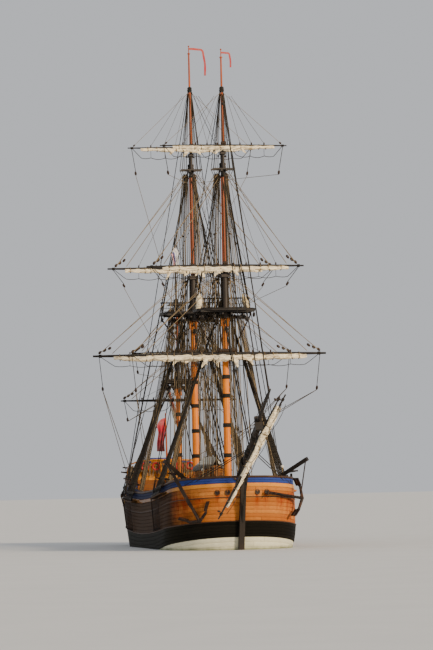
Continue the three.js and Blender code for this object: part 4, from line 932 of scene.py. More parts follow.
def make_stern_windows(glass, yellow):
    """Five windows with their bars, and pilasters between them."""
    z0, z1 = 3.52, 4.5
    turn = Matrix.Rotation(math.atan((aft_x(z1) - aft_x(z0)) / (z1 - z0)), 3, "Y")
    for i in range(5):
        centre = Vector((aft_x(4.0) - TRANSOM_DEPTH - 0.03, (i - 2) * WINDOW_PITCH, 4.01))
        glass.block(centre, (0.03, 0.8, 0.92), turn, 0.005)
        uprights = ((0.44, 0, 0.1, 1.06), (-0.44, 0, 0.1, 1.06))
        for dy, dz, sy, sz in uprights + ((0, 0.5, 0.98, 0.1), (0, -0.5, 0.98, 0.1)):
            yellow.block(centre + turn @ Vector((-0.02, dy, dz)), (0.09, sy, sz), turn, 0.02)
        for k in (-1, 0, 1):
            yellow.block(centre + turn @ Vector((-0.02, k * 0.2, 0)), (0.05, 0.03, 0.94), turn, 0.008)
        for k in (-1, 0, 1):
            yellow.block(centre + turn @ Vector((-0.02, 0, k * 0.23)), (0.05, 0.82, 0.03), turn, 0.008)
    for i in range(6):
        place = (aft_x(4.0) - TRANSOM_DEPTH - 0.06, (i - 2.5) * WINDOW_PITCH, 4.01)
        yellow.turn([(0.06, -0.52), (0.045, -0.46), (0.045, 0.44), (0.07, 0.5)], place, (0.08, 0, 1), 8)


def make_crown(yellow):
    """The arched crown board with a plain rope border."""
    arch = []
    for t in (-1 + i / 12 for i in range(25)):
        z = 6.82 - 0.95 * abs(t) ** 2.2
        arch.append(Vector((aft_x(z) - TRANSOM_DEPTH - 0.04, 2.62 * t, z)))
    yellow.tube(arch, 0.06, 8)
    x = aft_x(6.15) - TRANSOM_DEPTH - 0.05
    for scale, radius in ((0.62, 0.045), (0.3, 0.035)):
        yellow.loop([(x, c * scale, 6.15 + s * scale * 0.62) for c, s in circle(28)], radius, 6)


def make_quarter_windows(trim, glass, yellow):
    x = -13.4
    for side in SIDES:
        beside = lambda inset, rise: Vector((0, side * inset, rise))
        y = side * skin_y(x, 4.1)
        along = (Vector((x - 0.4, side * skin_y(x - 0.4, 4.1), 0)) - Vector((x, y, 0))).normalized()
        turn = along_x(along)
        centre = Vector((x, y, 3.62))
        trim.block(centre + beside(0.1, 0.5), (1.2, 0.34, 0.12), turn)
        trim.block(centre + beside(0.1, -0.5), (1.2, 0.34, 0.12), turn)
        glass.block(centre + beside(0.09, 0), (0.8, 0.16, 0.8), turn)
        for dx, thick in ((-0.48, 0.12), (0.48, 0.12), (0.0, 0.035), (-0.24, 0.035), (0.24, 0.035)):
            bar = centre + turn @ Vector((dx, 0, 0)) + beside(0.13, 0)
            yellow.block(bar, (thick, 0.14, 0.9), turn, 0.01)
        for dz in (-0.15, 0.15):
            yellow.block(centre + beside(0.14, dz), (0.86, 0.12, 0.03), turn, 0.01)


def make_stern_rails(rails):
    """The quarterdeck rail and the taffrail on their balusters."""
    for side in SIDES:
        rail = []
        for x in (-11.2 - i * 0.42 for i in range(12)):
            z = CAP(x) + 0.07
            y = side * (skin_y(x, z) - 0.08)
            rails.turn(BALUSTER_FOOT + [(0.045, 0.35), (0.03, 0.6)], (x, y, z), sides=7)
            rail.append(Vector((x, y, z + 0.62)))
        rails.tube(rail + [Vector((-16.3, side * 2.35, 6.62))], 0.06, 8)
    ends = [-2.35 + 0.47 * k for k in range(11)]
    rails.tube([Vector((-16.3, y, 6.62 + 0.1 * (1 - (y / 2.35) ** 2))) for y in ends], 0.07, 8)
    for k in range(9):
        rails.turn(BALUSTER_FOOT + [(0.045, 0.4), (0.03, 0.85)], (-16.28, -2.2 + k * 0.55, 5.78), sides=7)


def make_stern():
    """Counter planks, transom planks and lining, windows, rails and the rope hung along them."""
    planks, trim, yellow, glass, rails, lining, lower, clutter = (Maker() for _ in range(8))
    for row in range(3):
        heights = (COUNTER_LOW + row * COUNTER_ROW, COUNTER_LOW + row * COUNTER_ROW + COUNTER_ROW)
        low, high = ((z, between(LEVELS, z, 6) - 0.05) for z in heights)
        stern_plank(planks, low, high, 0.0, 0.05, row, RUDDER_GAP)
    for i, (low, high) in enumerate(zip(TRANSOM_ROWS, TRANSOM_ROWS[1:])):
        if low[0] != WINDOWS_LOW:
            stern_plank(planks, low, high, TRANSOM_DEPTH, 0.04, i + 5, RUDDER_GAP if low[0] < 2.9 else 0.0)
    for z, wide, tall in ((3.4, 3.16, 0.09), (WINDOWS_TOP, 3.08, 0.09), (5.82, 2.9, 0.1)):
        trim.block((aft_x(z) - TRANSOM_DEPTH - 0.05, 0, z), (0.16, wide * 2, tall), chamfer=0.03)
    make_stern_windows(glass, yellow)
    make_crown(yellow)
    make_quarter_windows(trim, glass, yellow)
    make_stern_rails(rails)
    for row in range(9):
        z0 = 3.75 + row * 0.34
        z1 = z0 + 0.33
        ring = [(aft_x(z) + out, z) for z, out in ((z0, 0.02), (z0, 0.07), (z1, 0.07), (z1, 0.02))]
        wide = min(2.4, 2.4 - (z1 - 6.2) * 2.0)
        boards = [[Vector((x, y * wide, z)) for x, z in ring] for y in (-1, -0.3, 0.3, 1)]
        (lining if row > 3 else lower).rings(boards, vs=[row, row + 0.1, row + 0.9, row + 1, row + 1])
    for k in range(17):
        hank(clutter, (-16.1, -2.1 + 0.26 * k, 6.55), 0.7 + 0.5 * ((k * 5) % 4) / 3, (1, 0, 0))
    for side in SIDES:
        for k in range(9):
            x = -11.4 - 0.5 * k
            pin = (x, side * (skin_y(x, CAP(x)) - 0.2), CAP(x) + 0.6)
            hank(clutter, pin, 0.6 + 0.3 * (k % 3), (0, -side, 0))
    lining.build("transom_lining", "rail")
    lower.build("lower_transom_lining", "inside")
    clutter.build("stern_rail_ropes", "hemp")
    planks.build("stern_planks", "blue")
    trim.build("stern_mouldings", "rail")
    yellow.build("window_frames", "yellow")
    glass.build("stern_glass", "glass")
    rails.build("quarter_rails", "rail")


make_stern()


# masts

MASTS = {  # position, foot, rake, then heights and radii of lower mast, topmast and topgallant mast
    "fore": dict(
        x=11.0, foot=fore_deck(11.0) + 0.1, rake=0.3, top=16.8, cap=19.5, r=(0.27, 0.21), head=28.25,
        trees=27.0, tr=(0.185, 0.13), tg=35.1, hounds=32.7, gr=(0.12, 0.06), wide=2.12, long=1.35),
    "main": dict(
        x=-2.25, foot=waist_deck(-2.25) + 0.1, rake=0.8, top=17.4, cap=20.35, r=(0.28, 0.22), head=29.7,
        trees=28.45, tr=(0.185, 0.13), tg=37.45, hounds=34.6, gr=(0.12, 0.06), wide=2.4, long=1.4),
    "mizzen": dict(
        x=-9.75, foot=after_deck(-9.75) + 0.1, rake=3.0, top=12.6, cap=14.5, r=(0.2, 0.16), head=24.15,
        trees=18.7, tr=(0.13, 0.05), tg=24.15, hounds=23.6, gr=(0.07, 0.05), wide=1.2, long=0.85),
}
AHEAD = {"r": 0.0, "tr": 0.46, "gr": 0.8}  # how far each part of a mast stands before the lower mast
TOPMAST_AHEAD, TOPGALLANT_AHEAD = AHEAD["tr"], AHEAD["gr"]
PART_ENDS = {"r": ("foot", "cap"), "tr": ("top", "head"), "gr": ("trees", "tg")}


def mast_matrix(name, ahead, z):
    """The frame of a mast at a height, with its Z axis up the mast."""
    spec = MASTS[name]
    foot = Matrix.Translation((spec["x"], 0, spec["foot"]))
    lean = Matrix.Rotation(math.radians(-spec["rake"]), 4, "Y")
    return foot @ lean @ Matrix.Translation((ahead, 0, z - spec["foot"]))


def on_mast(name, z, ahead=0.0, y=0.0):
    foot = MASTS[name]["foot"]
    return mast_matrix(name, 0, foot) @ Vector((ahead, y, z - foot))


def mast_axis(name):
    return mast_matrix(name, 0, 0).to_3x3() @ UP


def radius_at(name, z, part="r"):
    low, high = (MASTS[name][end] for end in PART_ENDS[part])
    a, b = MASTS[name][part]
    return a + (b - a) * (z - low) / (high - low)


BANDS = {"fore": (12.25, 10.9, 8.8, 6.65), "main": (12.4, 10.6, 8.7, 6.8), "mizzen": (10.2, 8.6, 7.0, 5.4)}


def make_mast_details():
    """Rope bands round the lower masts, and rope eyes on the mastheads."""
    bands, eyes = Maker(), Maker()
    for name, heights in BANDS.items():
        spec = MASTS[name]
        for z in heights:
            radius = radius_at(name, z) + 0.012
            profile = [(radius - 0.01, -0.15)]
            for k in range(6):
                z0 = -0.135 + k * 0.045
                profile += [(radius + 0.008, z0), (radius + 0.032, z0 + 0.0225), (radius + 0.008, z0 + 0.045)]
            profile.append((radius - 0.01, 0.15))
            bands.turn(profile, on_mast(name, z), mast_axis(name), 24)
        stacks = [("r", spec["top"] + 0.3, 9), ("tr", spec["trees"] + 0.2, 5), ("gr", spec["hounds"], 4)]
        for part, z, count in stacks[:2] if name == "mizzen" else stacks:
            for k in range(count):
                height = z + k * 0.075
                radius = radius_at(name, height, part) + 0.025 + 0.012 * math.sin(k * 2.1)
                place = mast_matrix(name, AHEAD[part], height)
                ring = [(c * radius - 0.02, s * (radius + 0.03), 0.05 * c) for c, s in circle(14)]
                eyes.loop([place @ Vector(p) for p in ring], 0.045, 6)
    bands.build("mast_wooldings", "tar")
    eyes.build("masthead_rope_eyes", "tar")


make_mast_details()


def deadeye(maker, centre, outward, size):
    half, rim = size * 0.62, size * 0.7
    profile = [(rim, -half), (size, -half * 0.7), (size * 0.9, 0), (size, half * 0.7), (rim, half)]
    maker.turn(profile, centre, outward, 12)


class Gang:
    """The shrouds of one mast and side, with deadeyes below and ratlines across."""

    def __init__(self, shrouds):
        self.shrouds = [(Vector(a), Vector(b)) for a, b in shrouds]

    def at(self, index, z):
        low, high = self.shrouds[index]
        return low.lerp(high, (z - low.z) / (high.z - low.z))

    def make(self, ropes, wood, thin, side, radius, gap, ratlines=(0, 0), size=0.13, staves=()):
        """ratlines holds the heights of the first and last, and staves heights and radii."""
        outward = Vector((0, side, 0))
        for low, high in self.shrouds:
            up = (high - low).normalized()
            deadeye(wood, low + up * size * 0.9, outward, size)
            deadeye(wood, low + up * gap, outward, size)
            across = up.cross(outward).normalized()
            for k in (-1, 0, 1):
                shift = across * k * size * 0.55
                thin.tube([low + shift, low + up * gap + shift], size * 0.13, 4)
            ropes.tube([low + up * gap, high], radius, 6)
            ropes.tube([low + up * (gap + size), low + up * (gap + size * 5)], radius * 1.5, 6)
        last = len(self.shrouds) - 1
        z = ratlines[0]
        while z < ratlines[1]:
            points = []
            for i in range(last + 1):
                here = self.at(i, z)
                points.append(here + Vector((0, 0, 0.012 * math.sin(i * 3.7 + z * 5))))
                if i < last:
                    points.append((here + self.at(i + 1, z)) / 2 - Vector((0, 0, 0.035)))
            thin.tube(points, 0.016, 4)
            z += 0.38
        for z, thick in staves:
            first, final = self.at(0, z), self.at(last, z)
            reach = (first - final).normalized() * 0.15
            ropes.tube([first + reach, final - reach], thick, 6)


SHROUDS = {  # x of the first and last lower shroud, their number, then the upper ones' places and number
    "fore": (9.7, 7.2, 6, -0.55, -0.97, 4),
    "main": (-3.5, -6.6, 6, -0.65, -1.0, 4),
    "mizzen": (-10.7, -11.9, 4, -0.3, -0.58, 3),
}
CHANNEL_TOP = 0.12
CHANNEL_WIDTH = {"fore": 0.5, "main": 0.5, "mizzen": 0.4}
BACKSTAYS = {"fore": (6.95, 6.8), "main": (-6.95, -7.2, -7.45), "mizzen": (-12.25,)}


def channel_edge(name, x, side):
    z = RAIL(x) - CHANNEL_TOP
    return Vector((x, side * (skin_y(x, z) + CHANNEL_WIDTH[name] - 0.12), z))


def rig_lower_mast(name, side, ropes, wood, thin, iron):
    """Lower shrouds and their chainplates. Returns the gang and the height of the futtock stave."""
    first, final, count = SHROUDS[name][:3]
    top, head_radius = MASTS[name]["top"], MASTS[name]["r"][1]
    shrouds = []
    for i, x in enumerate(evenly(first, final, count)):
        high = on_mast(name, top + 0.34, -0.35 - 0.02 * i, side * (head_radius + 0.06))
        shrouds.append((channel_edge(name, x, side), high))
        ropes.tube([high, on_mast(name, top + 0.5 + 0.07 * i, -0.08, side * (head_radius + 0.05))], 0.042, 6)
    gang = Gang(shrouds)
    stave, low = top - 1.95, shrouds[0][0].z
    staves = ((low + 0.85, 0.035), (stave, 0.05))
    gang.make(ropes, wood, thin, side, 0.045, 0.62, (low + 1.0, stave), staves=staves)
    for x in evenly(first, final, count) + list(BACKSTAYS[name]):
        edge = channel_edge(name, x, side)
        foot = Vector((x - 0.1, side * (skin_y(x, WALE(x) + 0.1) + 0.12), WALE(x) + 0.15))
        iron.tube([edge + Vector((0, 0, 0.1)), edge + Vector((0, side * 0.1, -0.02)), foot], 0.02, 5)
        iron.turn([(0.05, -0.02), (0.06, 0.05), (0.03, 0.07)], foot, (0, side, 0), 8)
    return gang, stave


def rig_topmast(name, side, gang, stave, ropes, wood, thin, iron):
    """Topmast shrouds from the top's side, futtock shrouds below them, and the topgallant shrouds."""
    _, _, count, rim_first, rim_last, number = SHROUDS[name]
    top, trees, wide, hounds = (MASTS[name][key] for key in ("top", "trees", "wide", "hounds"))
    rim = []
    for i, ahead in enumerate(evenly(rim_first, rim_last, number)):
        low = on_mast(name, top + 0.22, ahead, side * (wide - 0.12))
        high = on_mast(name, trees - 0.14, 0.3, side * 0.19)
        rim.append((low, high))
        plate = on_mast(name, top - 0.1, ahead, side * (wide - 0.1))
        iron.tube([low, plate, gang.at(min(i + 1, count - 1), stave)], 0.024, 5)
        ropes.tube([high, on_mast(name, trees + 0.3 + 0.05 * i, TOPMAST_AHEAD, side * 0.14)], 0.034, 6)
    upper = Gang(rim)
    low = rim[0][0].z
    staves = ((low + 0.62, 0.026), (trees - 0.9, 0.026))
    upper.make(ropes, wood, thin, side, 0.036, 0.42, (low + 0.8, trees - 0.9), 0.1, staves)
    if name != "mizzen":
        for k, ahead in enumerate((0.3, 0.22)):
            low = on_mast(name, trees + 0.1, ahead, side * (0.8 - 0.2 * k))
            high = on_mast(name, hounds + 0.12, TOPGALLANT_AHEAD - 0.05, side * 0.08)
            ropes.tube([low, high], 0.026, 5)
            ropes.tube([low, upper.at(k, trees - 0.9)], 0.022, 5)


def rig_backstays(name, side, ropes, wood, thin):
    """Backstays from the channel, in turn to the topmast's and the topgallant mast's head."""
    heads = [
        on_mast(name, MASTS[name]["trees"] + 0.4, TOPMAST_AHEAD - 0.1, side * 0.15),
        on_mast(name, MASTS[name]["hounds"] + 0.2, TOPGALLANT_AHEAD - 0.05, side * 0.08),
    ]
    for k, x in enumerate(BACKSTAYS[name]):
        backstay = Gang([(channel_edge(name, x, side), heads[k % 2])])
        backstay.make(ropes, wood, thin, side, 0.03, 0.5, size=0.11)


def make_standing_rigging():
    for name in SHROUDS:
        ropes, wood, thin, iron = Maker(), Maker(), Maker(), Maker()
        for side in SIDES:
            gang, stave = rig_lower_mast(name, side, ropes, wood, thin, iron)
            rig_topmast(name, side, gang, stave, ropes, wood, thin, iron)
            rig_backstays(name, side, ropes, wood, thin)
        ropes.build(name + "_standing_rigging", "tar")
        wood.build(name + "_deadeyes", "black")
        thin.build(name + "_ratlines_and_lanyards", "tar")
        iron.build(name + "_chainplates", "iron")


make_standing_rigging()


def sprit_z(x):
    return 4.76 + 0.459 * (x - 14.85)


def on_sprit(x, y=0.0, rise=0.0):
    return Vector((x, y, sprit_z(x) + rise))


def fore_stay_head(z, part):
    return on_mast("fore", z, AHEAD[part] + radius_at("fore", z, part) / 2)


STAYS = [  # upper end, lower end, radius
    (on_mast("fore", 16.3, 0.25), on_sprit(19.9, 0, 0.25), 0.04),
    (on_mast("main", 16.9, 0.25), on_mast("fore", 6.2, -0.28), 0.045),
    (fore_stay_head(27.4, "tr"), on_sprit(24.5, 0, 0.4), 0.046),
    (fore_stay_head(32.5, "gr"), on_sprit(26.7, 0, 0.4), 0.046),
    (on_mast("main", 34.8, TOPGALLANT_AHEAD + 0.08), on_mast("fore", 27.9, TOPMAST_AHEAD - 0.12), 0.022),
    (on_mast("main", 28.6, TOPMAST_AHEAD + 0.1), on_mast("fore", 19.3, -0.2), 0.03),
    (on_mast("mizzen", 12.7, 0.18), on_mast("main", 5.2, -0.3), 0.035),
    (on_mast("mizzen", 18.9, TOPMAST_AHEAD + 0.1), on_mast("main", 17.0, -0.25), 0.026),
    (on_mast("mizzen", 23.8, TOPMAST_AHEAD + 0.05), on_mast("main", 20.1, -0.24), 0.018),
]


def make_gammoning(ropes):
    """The lashing that holds the bowsprit down to the stem."""
    for x in (17.35 + k * 0.07 for k in range(9)):
        loop = []
        for c, s in circle(16):
            wide = 0.33 if s > -0.3 else 0.24
            rise = 0.34 * s if s > -0.3 else -0.1 + 0.9 * s
            loop.append(Vector((x - 0.35 * max(-s, 0), c * wide, sprit_z(x) + rise)))
        ropes.loop(loop, 0.034, 5)


def make_stays():
    """Stays beyond the four main ones, bobstays, gammoning and the bowsprit's shrouds and collars."""
    ropes, wood = Maker(), Maker()
    for high, low, radius in STAYS:
        ropes.tube([high, low], radius, 6)
        along = (high - low).normalized()
        wood.pulley(low + along * 0.35, along, 0.11)
        # the mouse: a swelling worked on the stay below the masthead
        mouse = [high - along * down for down in (1.1, 1.0, 0.85, 0.8)]
        ropes.tube(mouse, [radius * 1.05, radius * 2.4, radius * 1.9, radius], 8)
    for y in (0.03, -0.03):
        ropes.tube([on_sprit(19.7, y), (16.42, y, 2.6)], 0.045, 6)
        ropes.tube([on_sprit(18.9, y), (16.02, y, 1.6)], 0.045, 6)
    for side in SIDES:
        for x, height in ((19.6, 4.55), (19.3, 4.35)):
            bow = (14.6, side * (skin_y(14.6, height) + 0.05), height)
            ropes.tube([on_sprit(x, side * 0.2), bow], 0.03, 6)
        ropes.tube([on_sprit(26.5, side * 0.08, 0.42), on_sprit(22.75, side * 0.3, 0.3)], 0.02, 5)
    make_gammoning(ropes)
    for x0 in (18.8, 19.5, 21.2):
        for x in (x0 + k * 0.07 for k in range(5)):
            radius = 0.27 - 0.07 * (x - 13.1) / 9.7 + 0.02
            ring = [(x - 0.4 * s * radius, c * radius, sprit_z(x) + s * radius) for c, s in circle(16)]
            ropes.loop(ring, 0.032, 5)
    ropes.build("stays_and_bobstays", "tar")
    wood.build("stay_blocks", "wood")


make_stays()


def make_top_platform(name, wood, nets, blocks):
    """The rims, battens, hanging blocks and after rail of one top."""
    place = mast_matrix(name, 0, MASTS[name]["top"])
    wide, long = MASTS[name]["wide"], MASTS[name]["long"]
    aft, fore = -long * 0.75, long * 1.15
    at = lambda x, y, z: place @ Vector((x, y, z))
    round_fore = [(0.45, 1), (0.8, 0.86), (0.96, 0.55), (1, 0), (0.96, -0.55), (0.8, -0.86), (0.45, -1)]
    outline = [(aft, -wide), (aft, wide)] + [(fore * x, wide * y) for x, y in round_fore]
    wood.loop([at(x, y, 0.275) for x, y in outline], 0.04, 6)
    wood.loop([at(x * 0.985, y * 0.985, 0.15) for x, y in outline], 0.035, 6)
    for y in (wide * k / 6.6 for k in range(-6, 7)):
        if abs(y) >= 0.42:
            length = fore * 0.6 - aft - 0.08
            wood.block(at((aft + fore * 0.6) / 2, y, 0.265), (length, 0.07, 0.035), place.to_3x3(), 0.01)
    for k in range(16):
        y = wide * (-0.94 + 1.88 * k / 15)
        if abs(y) > 0.3:
            x = aft * 0.8 + (fore * 0.7 - aft * 0.8) * ((k * 5) % 7) / 6
            blocks.pulley(at(x, y, -0.16 - 0.1 * (k % 3)), (0.1 * (k % 2), 0.1, 1), 0.15, k)
            nets.tube([at(x, y, 0.14), at(x, y, -0.1 - 0.1 * (k % 3))], 0.035, 5)
    for side in SIDES:
        for k in range(4):
            z = MASTS[name]["trees"] - 0.45 - 0.16 * k
            low = on_mast(name, z, 0.3 - 0.2 * k, side * (0.22 + 0.05 * k))
            blocks.pulley(low, (0, side * 0.2, 1), 0.15, k)
    if name == "mizzen":
        return
    x = aft + 0.06
    for share in (-0.93, -0.45, 0.0, 0.45, 0.93):
        wood.turn([(0.04, 0), (0.04, 0.9)], at(x, wide * share, 0.25), mast_axis(name), 8)
    wood.tube([at(x, y, 1.16) for y in (-wide * 0.97, 0, wide * 0.97)], 0.05, 8)
    for z in (0.5, 0.75):
        nets.tube([at(x, y, z) for y in (-wide * 0.93, 0, wide * 0.93)], 0.02, 5)
    for y in (-wide * 0.9 + k * wide * 1.8 / 23 for k in range(24)):
        nets.tube([at(x, y, 0.28), at(x, y + 0.16, 1.14)], 0.012, 4)


STOWED = [  # name, distance off the middle, material, lean and seed of the staysails stowed on the fore top
    ("stowed_staysail_starboard", -1.85, "sail", 0.12, 3.0),
    ("stowed_staysail_port", 1.72, "stow", 0.22, 8.0),
]


def make_stowed_staysails():
    """Staysails stowed upright on the fore top, against its rail."""
    place = mast_matrix("fore", 0, MASTS["fore"]["top"])
    for name, y, material, lean, seed in STOWED:
        bundle = Maker()
        rings = []
        for t in (i / 16 for i in range(17)):
            wide = 0.21 * math.sin(math.pi * min(t * 0.9 + 0.12, 1)) ** 0.5 + 0.02
            tie = 0.14 * math.exp(-((t * 4 % 1 - 0.5) / 0.15) ** 2)
            ring = []
            for c, s in circle(14):
                size = wide * (1 + 0.3 * noise.noise(Vector((c * 1.5, s * 1.5, t * 4 + seed))) - tie)
                across = y - lean * t * 1.2 * math.copysign(1, y) + s * size
                ring.append(place @ Vector((-0.35 + c * size, across, 0.29 + 1.15 * t)))
            rings.append(ring)
        bundle.rings(rings)
        bundle.build(name, material)


def make_tops():
    wood, nets, blocks = Maker(), Maker(), Maker()
    for name in MASTS:
        make_top_platform(name, wood, nets, blocks)
    make_stowed_staysails()
    wood.build("top_rims_and_rails", "black")
    nets.build("top_netting", "tar")
    blocks.build("blocks_below_tops", "black", slot="dark_wood")


make_tops()


# yards with their furled sails

GASKETS_APART = 0.88
STIRRUPS = (0.2, 0.42, 0.64, 0.86)  # places of the footrope's stirrups, as shares of the arm
LIFTS = {"r": 0.93, "tr": 0.9, "gr": 0.9}  # where the lifts hold the arm, as a share of it
PENDANTS = {"r": (0.25, 2.3), "tr": (0.85, 1.1), "gr": (0.3, 1.75)}  # how far a pendant leads inward and down
MIZZEN_PENDANT = (0.25, 1.3)


class Roll:
    """A square sail rolled up under its yard, drawn up against the yard's fore side and tied with gaskets.

    centre and yard are the middles of the roll and of the yard in the yard's XZ plane. slim thins the roll
    along the yard, by t from -1 to 1.
    """

    def __init__(
            self, place, half, radius, centre, yard, yard_radius, seed, slim=lambda t: 0.64, drawn_up=0.4):
        self.place, self.reach, self.radius, self.centre = place, half * 0.8, radius, centre
        self.yard, self.yard_radius, self.seed = yard, yard_radius, seed
        self.slim, self.drawn_up = slim, drawn_up
        reach, count = self.reach, int(self.reach * 2 / GASKETS_APART)
        self.knots = [
            -reach + reach * 2 * (k + 0.5 + 0.28 * math.sin(k * 2.4 + seed)) / count for k in range(count)]

    def size_at(self, y):
        t = y / self.reach
        size = self.radius * (0.14 + 0.86 * max(1 - t * t, 0) ** 0.6) * self.slim(t)
        return size * (1.0 + 0.16 * math.exp(-((y / 0.55) ** 2)))

    def yard_at(self, y):
        return self.yard_radius * (1 - 0.5 * abs(y / (self.reach / 0.8)) ** 1.5)

    def ring_at(self, y):
        """One ring of the cloth: the roll or the part drawn up to the yard, whichever lies further out."""
        seed, radius, size, here = self.seed, self.radius, self.size_at(y), self.yard_at(y)
        nearest = min(abs(y - knot) for knot in self.knots)
        pinch = math.exp(-((nearest / 0.075) ** 2))
        swell = math.sin(min(nearest / (GASKETS_APART / 2), 1) * math.pi / 2)
        bay = 1 + 0.38 * noise.noise(Vector((seed * 2, y / GASKETS_APART, 7)))
        wander = noise.noise(Vector((seed, y * 0.9, 0))) * 0.25 * radius
        drop = noise.noise(Vector((seed + 5, y * 1.6, 2))) * 0.3 * radius + 0.12 * radius * swell
        tip = min(0.25 + (1 - abs(y / self.reach)) / 0.1, 1)
        ragged = noise.noise(Vector((seed + 9, y * 1.9, 4))) * 0.5
        lip = Vector((self.yard[0] + here * 0.9, y, self.yard[1] - here * (0.7 - ragged)))
        middle = Vector((self.centre[0] + wander * 0.5, y, self.centre[1] + radius * 0.12 - drop))
        ring = []
        for k in range(30):
            a = math.tau * k / 30
            c, s = math.cos(a), math.sin(a)
            out = Vector((c, 0, s))
            lump = noise.noise(Vector((c * 1.6, y * 2.6 + seed, s * 1.6))) * 0.26
            lump += noise.noise(Vector((c * 3.5, y * 6 + seed, s * 3.5))) * 0.13
            crease = noise.noise(Vector((a * 2.1, y * 0.7 + 40, seed))) * 0.1
            crease += 0.05 * math.sin(a * 7 + y * 1.5 + seed)
            grow = bay * (1 + (lump + crease) * (1 - pinch * 0.5) - 0.2 * pinch)
            rolled = middle + out * size * grow
            drawn = lip + out * here * self.drawn_up * tip * (1 + lump * 2 - 0.1 * pinch)
            ring.append(self.place @ (rolled if rolled.dot(out) > drawn.dot(out) else drawn))
        return ring

    def tail(self, sail, side, seed, fold_index):
        """A fold of the sail hanging out of the bunt."""
        roll = self.radius
        bunt = side * (0.35 + 0.12 * math.sin(seed * 2.3))
        bunt += side * fold_index * (1.1 + 0.3 * math.sin(seed * 1.9))
        length = roll * (1.5 + 0.7 * math.sin(seed * 1.7 + side + fold_index * 2.0))
        width = 1 - 0.35 * fold_index
        rings = []
        for t in (i / 10 for i in range(11)):
            wide = roll * (0.85 * (1 - t) ** 0.8 + 0.1) * width
            thick = roll * (0.45 * (1 - t) + 0.08) * width
            x = self.centre[0] + roll * 0.35 + 0.06 * math.sin(t * 5 + seed)
            y = bunt + side * (0.1 + 0.32 * t)
            z = self.centre[1] - roll * 0.25 - length * t
            ring = []
            for a in (math.tau * k / 12 for k in range(12)):
                fold = 1 + 0.25 * math.sin(a * 3 + t * 6 + seed)
                ahead, aside = x + math.sin(a) * thick * fold, y + math.cos(a) * wide * fold
                ring.append(self.place @ Vector((ahead, aside, z + 0.04 * math.sin(a * 2))))
            rings.append(ring)
        sail.rings(rings)

    def gaskets(self):
        ties = Maker()
        for k, y in enumerate(self.knots):
            size, here = self.size_at(y) * 0.9, self.yard_at(y)
            slant = 0.05 * math.sin(k * 3.3 + self.seed)
            for shift in (-0.016, 0.016):
                loop = []
                for c, s in circle(18):
                    out, along = Vector((c, 0, s)), y + shift + slant * s
                    first = Vector((self.yard[0], along, self.yard[1])) + out * (here + 0.012)
                    second = Vector((self.centre[0], along, self.centre[1] - 0.03)) + out * (size + 0.012)
                    loop.append(self.place @ (first if first.dot(out) > second.dot(out) else second))
                ties.loop(loop, 0.013, 5)
        return ties

    def make(self, yard, body, tails=()):
        """Builds the cloth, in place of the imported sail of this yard, and its gaskets."""
        sail = Maker()
        steps = int(self.reach * 2 / 0.075)
        sail.rings([self.ring_at(-self.reach + 2 * self.reach * i / steps) for i in range(steps + 1)])
        for tail in tails:
            self.tail(sail, *tail)
        made = sail.build(yard.replace("yard", "sail_furled"), "sail", body, sharp=70)
        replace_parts(made, yard.replace("yard", "sail"))
        self.gaskets().build(yard.replace("yard", "gaskets"), "hemp", body)


def rope_turns(maker, place, ahead, start, side, radius):
    """Four turns of rope round a yardarm."""
    for y in (side * (start + k * 0.05) for k in range(4)):
        maker.loop([place @ Vector((ahead + c * radius, y, s * radius)) for c, s in circle(10)], 0.024, 5)


def masthead(mast, part):
    """Where the lifts and buntlines of a yard lead to: ahead, half breadth and height on its mast."""
    spec = MASTS[mast]
    return {
        "r": (0.1, 0.3, spec["cap"] + 0.16),
        "tr": (TOPMAST_AHEAD + 0.05, 0.26, spec["trees"] - 0.1),
        "gr": (TOPGALLANT_AHEAD, 0.14, spec["hounds"] - 0.15),
    }[part]


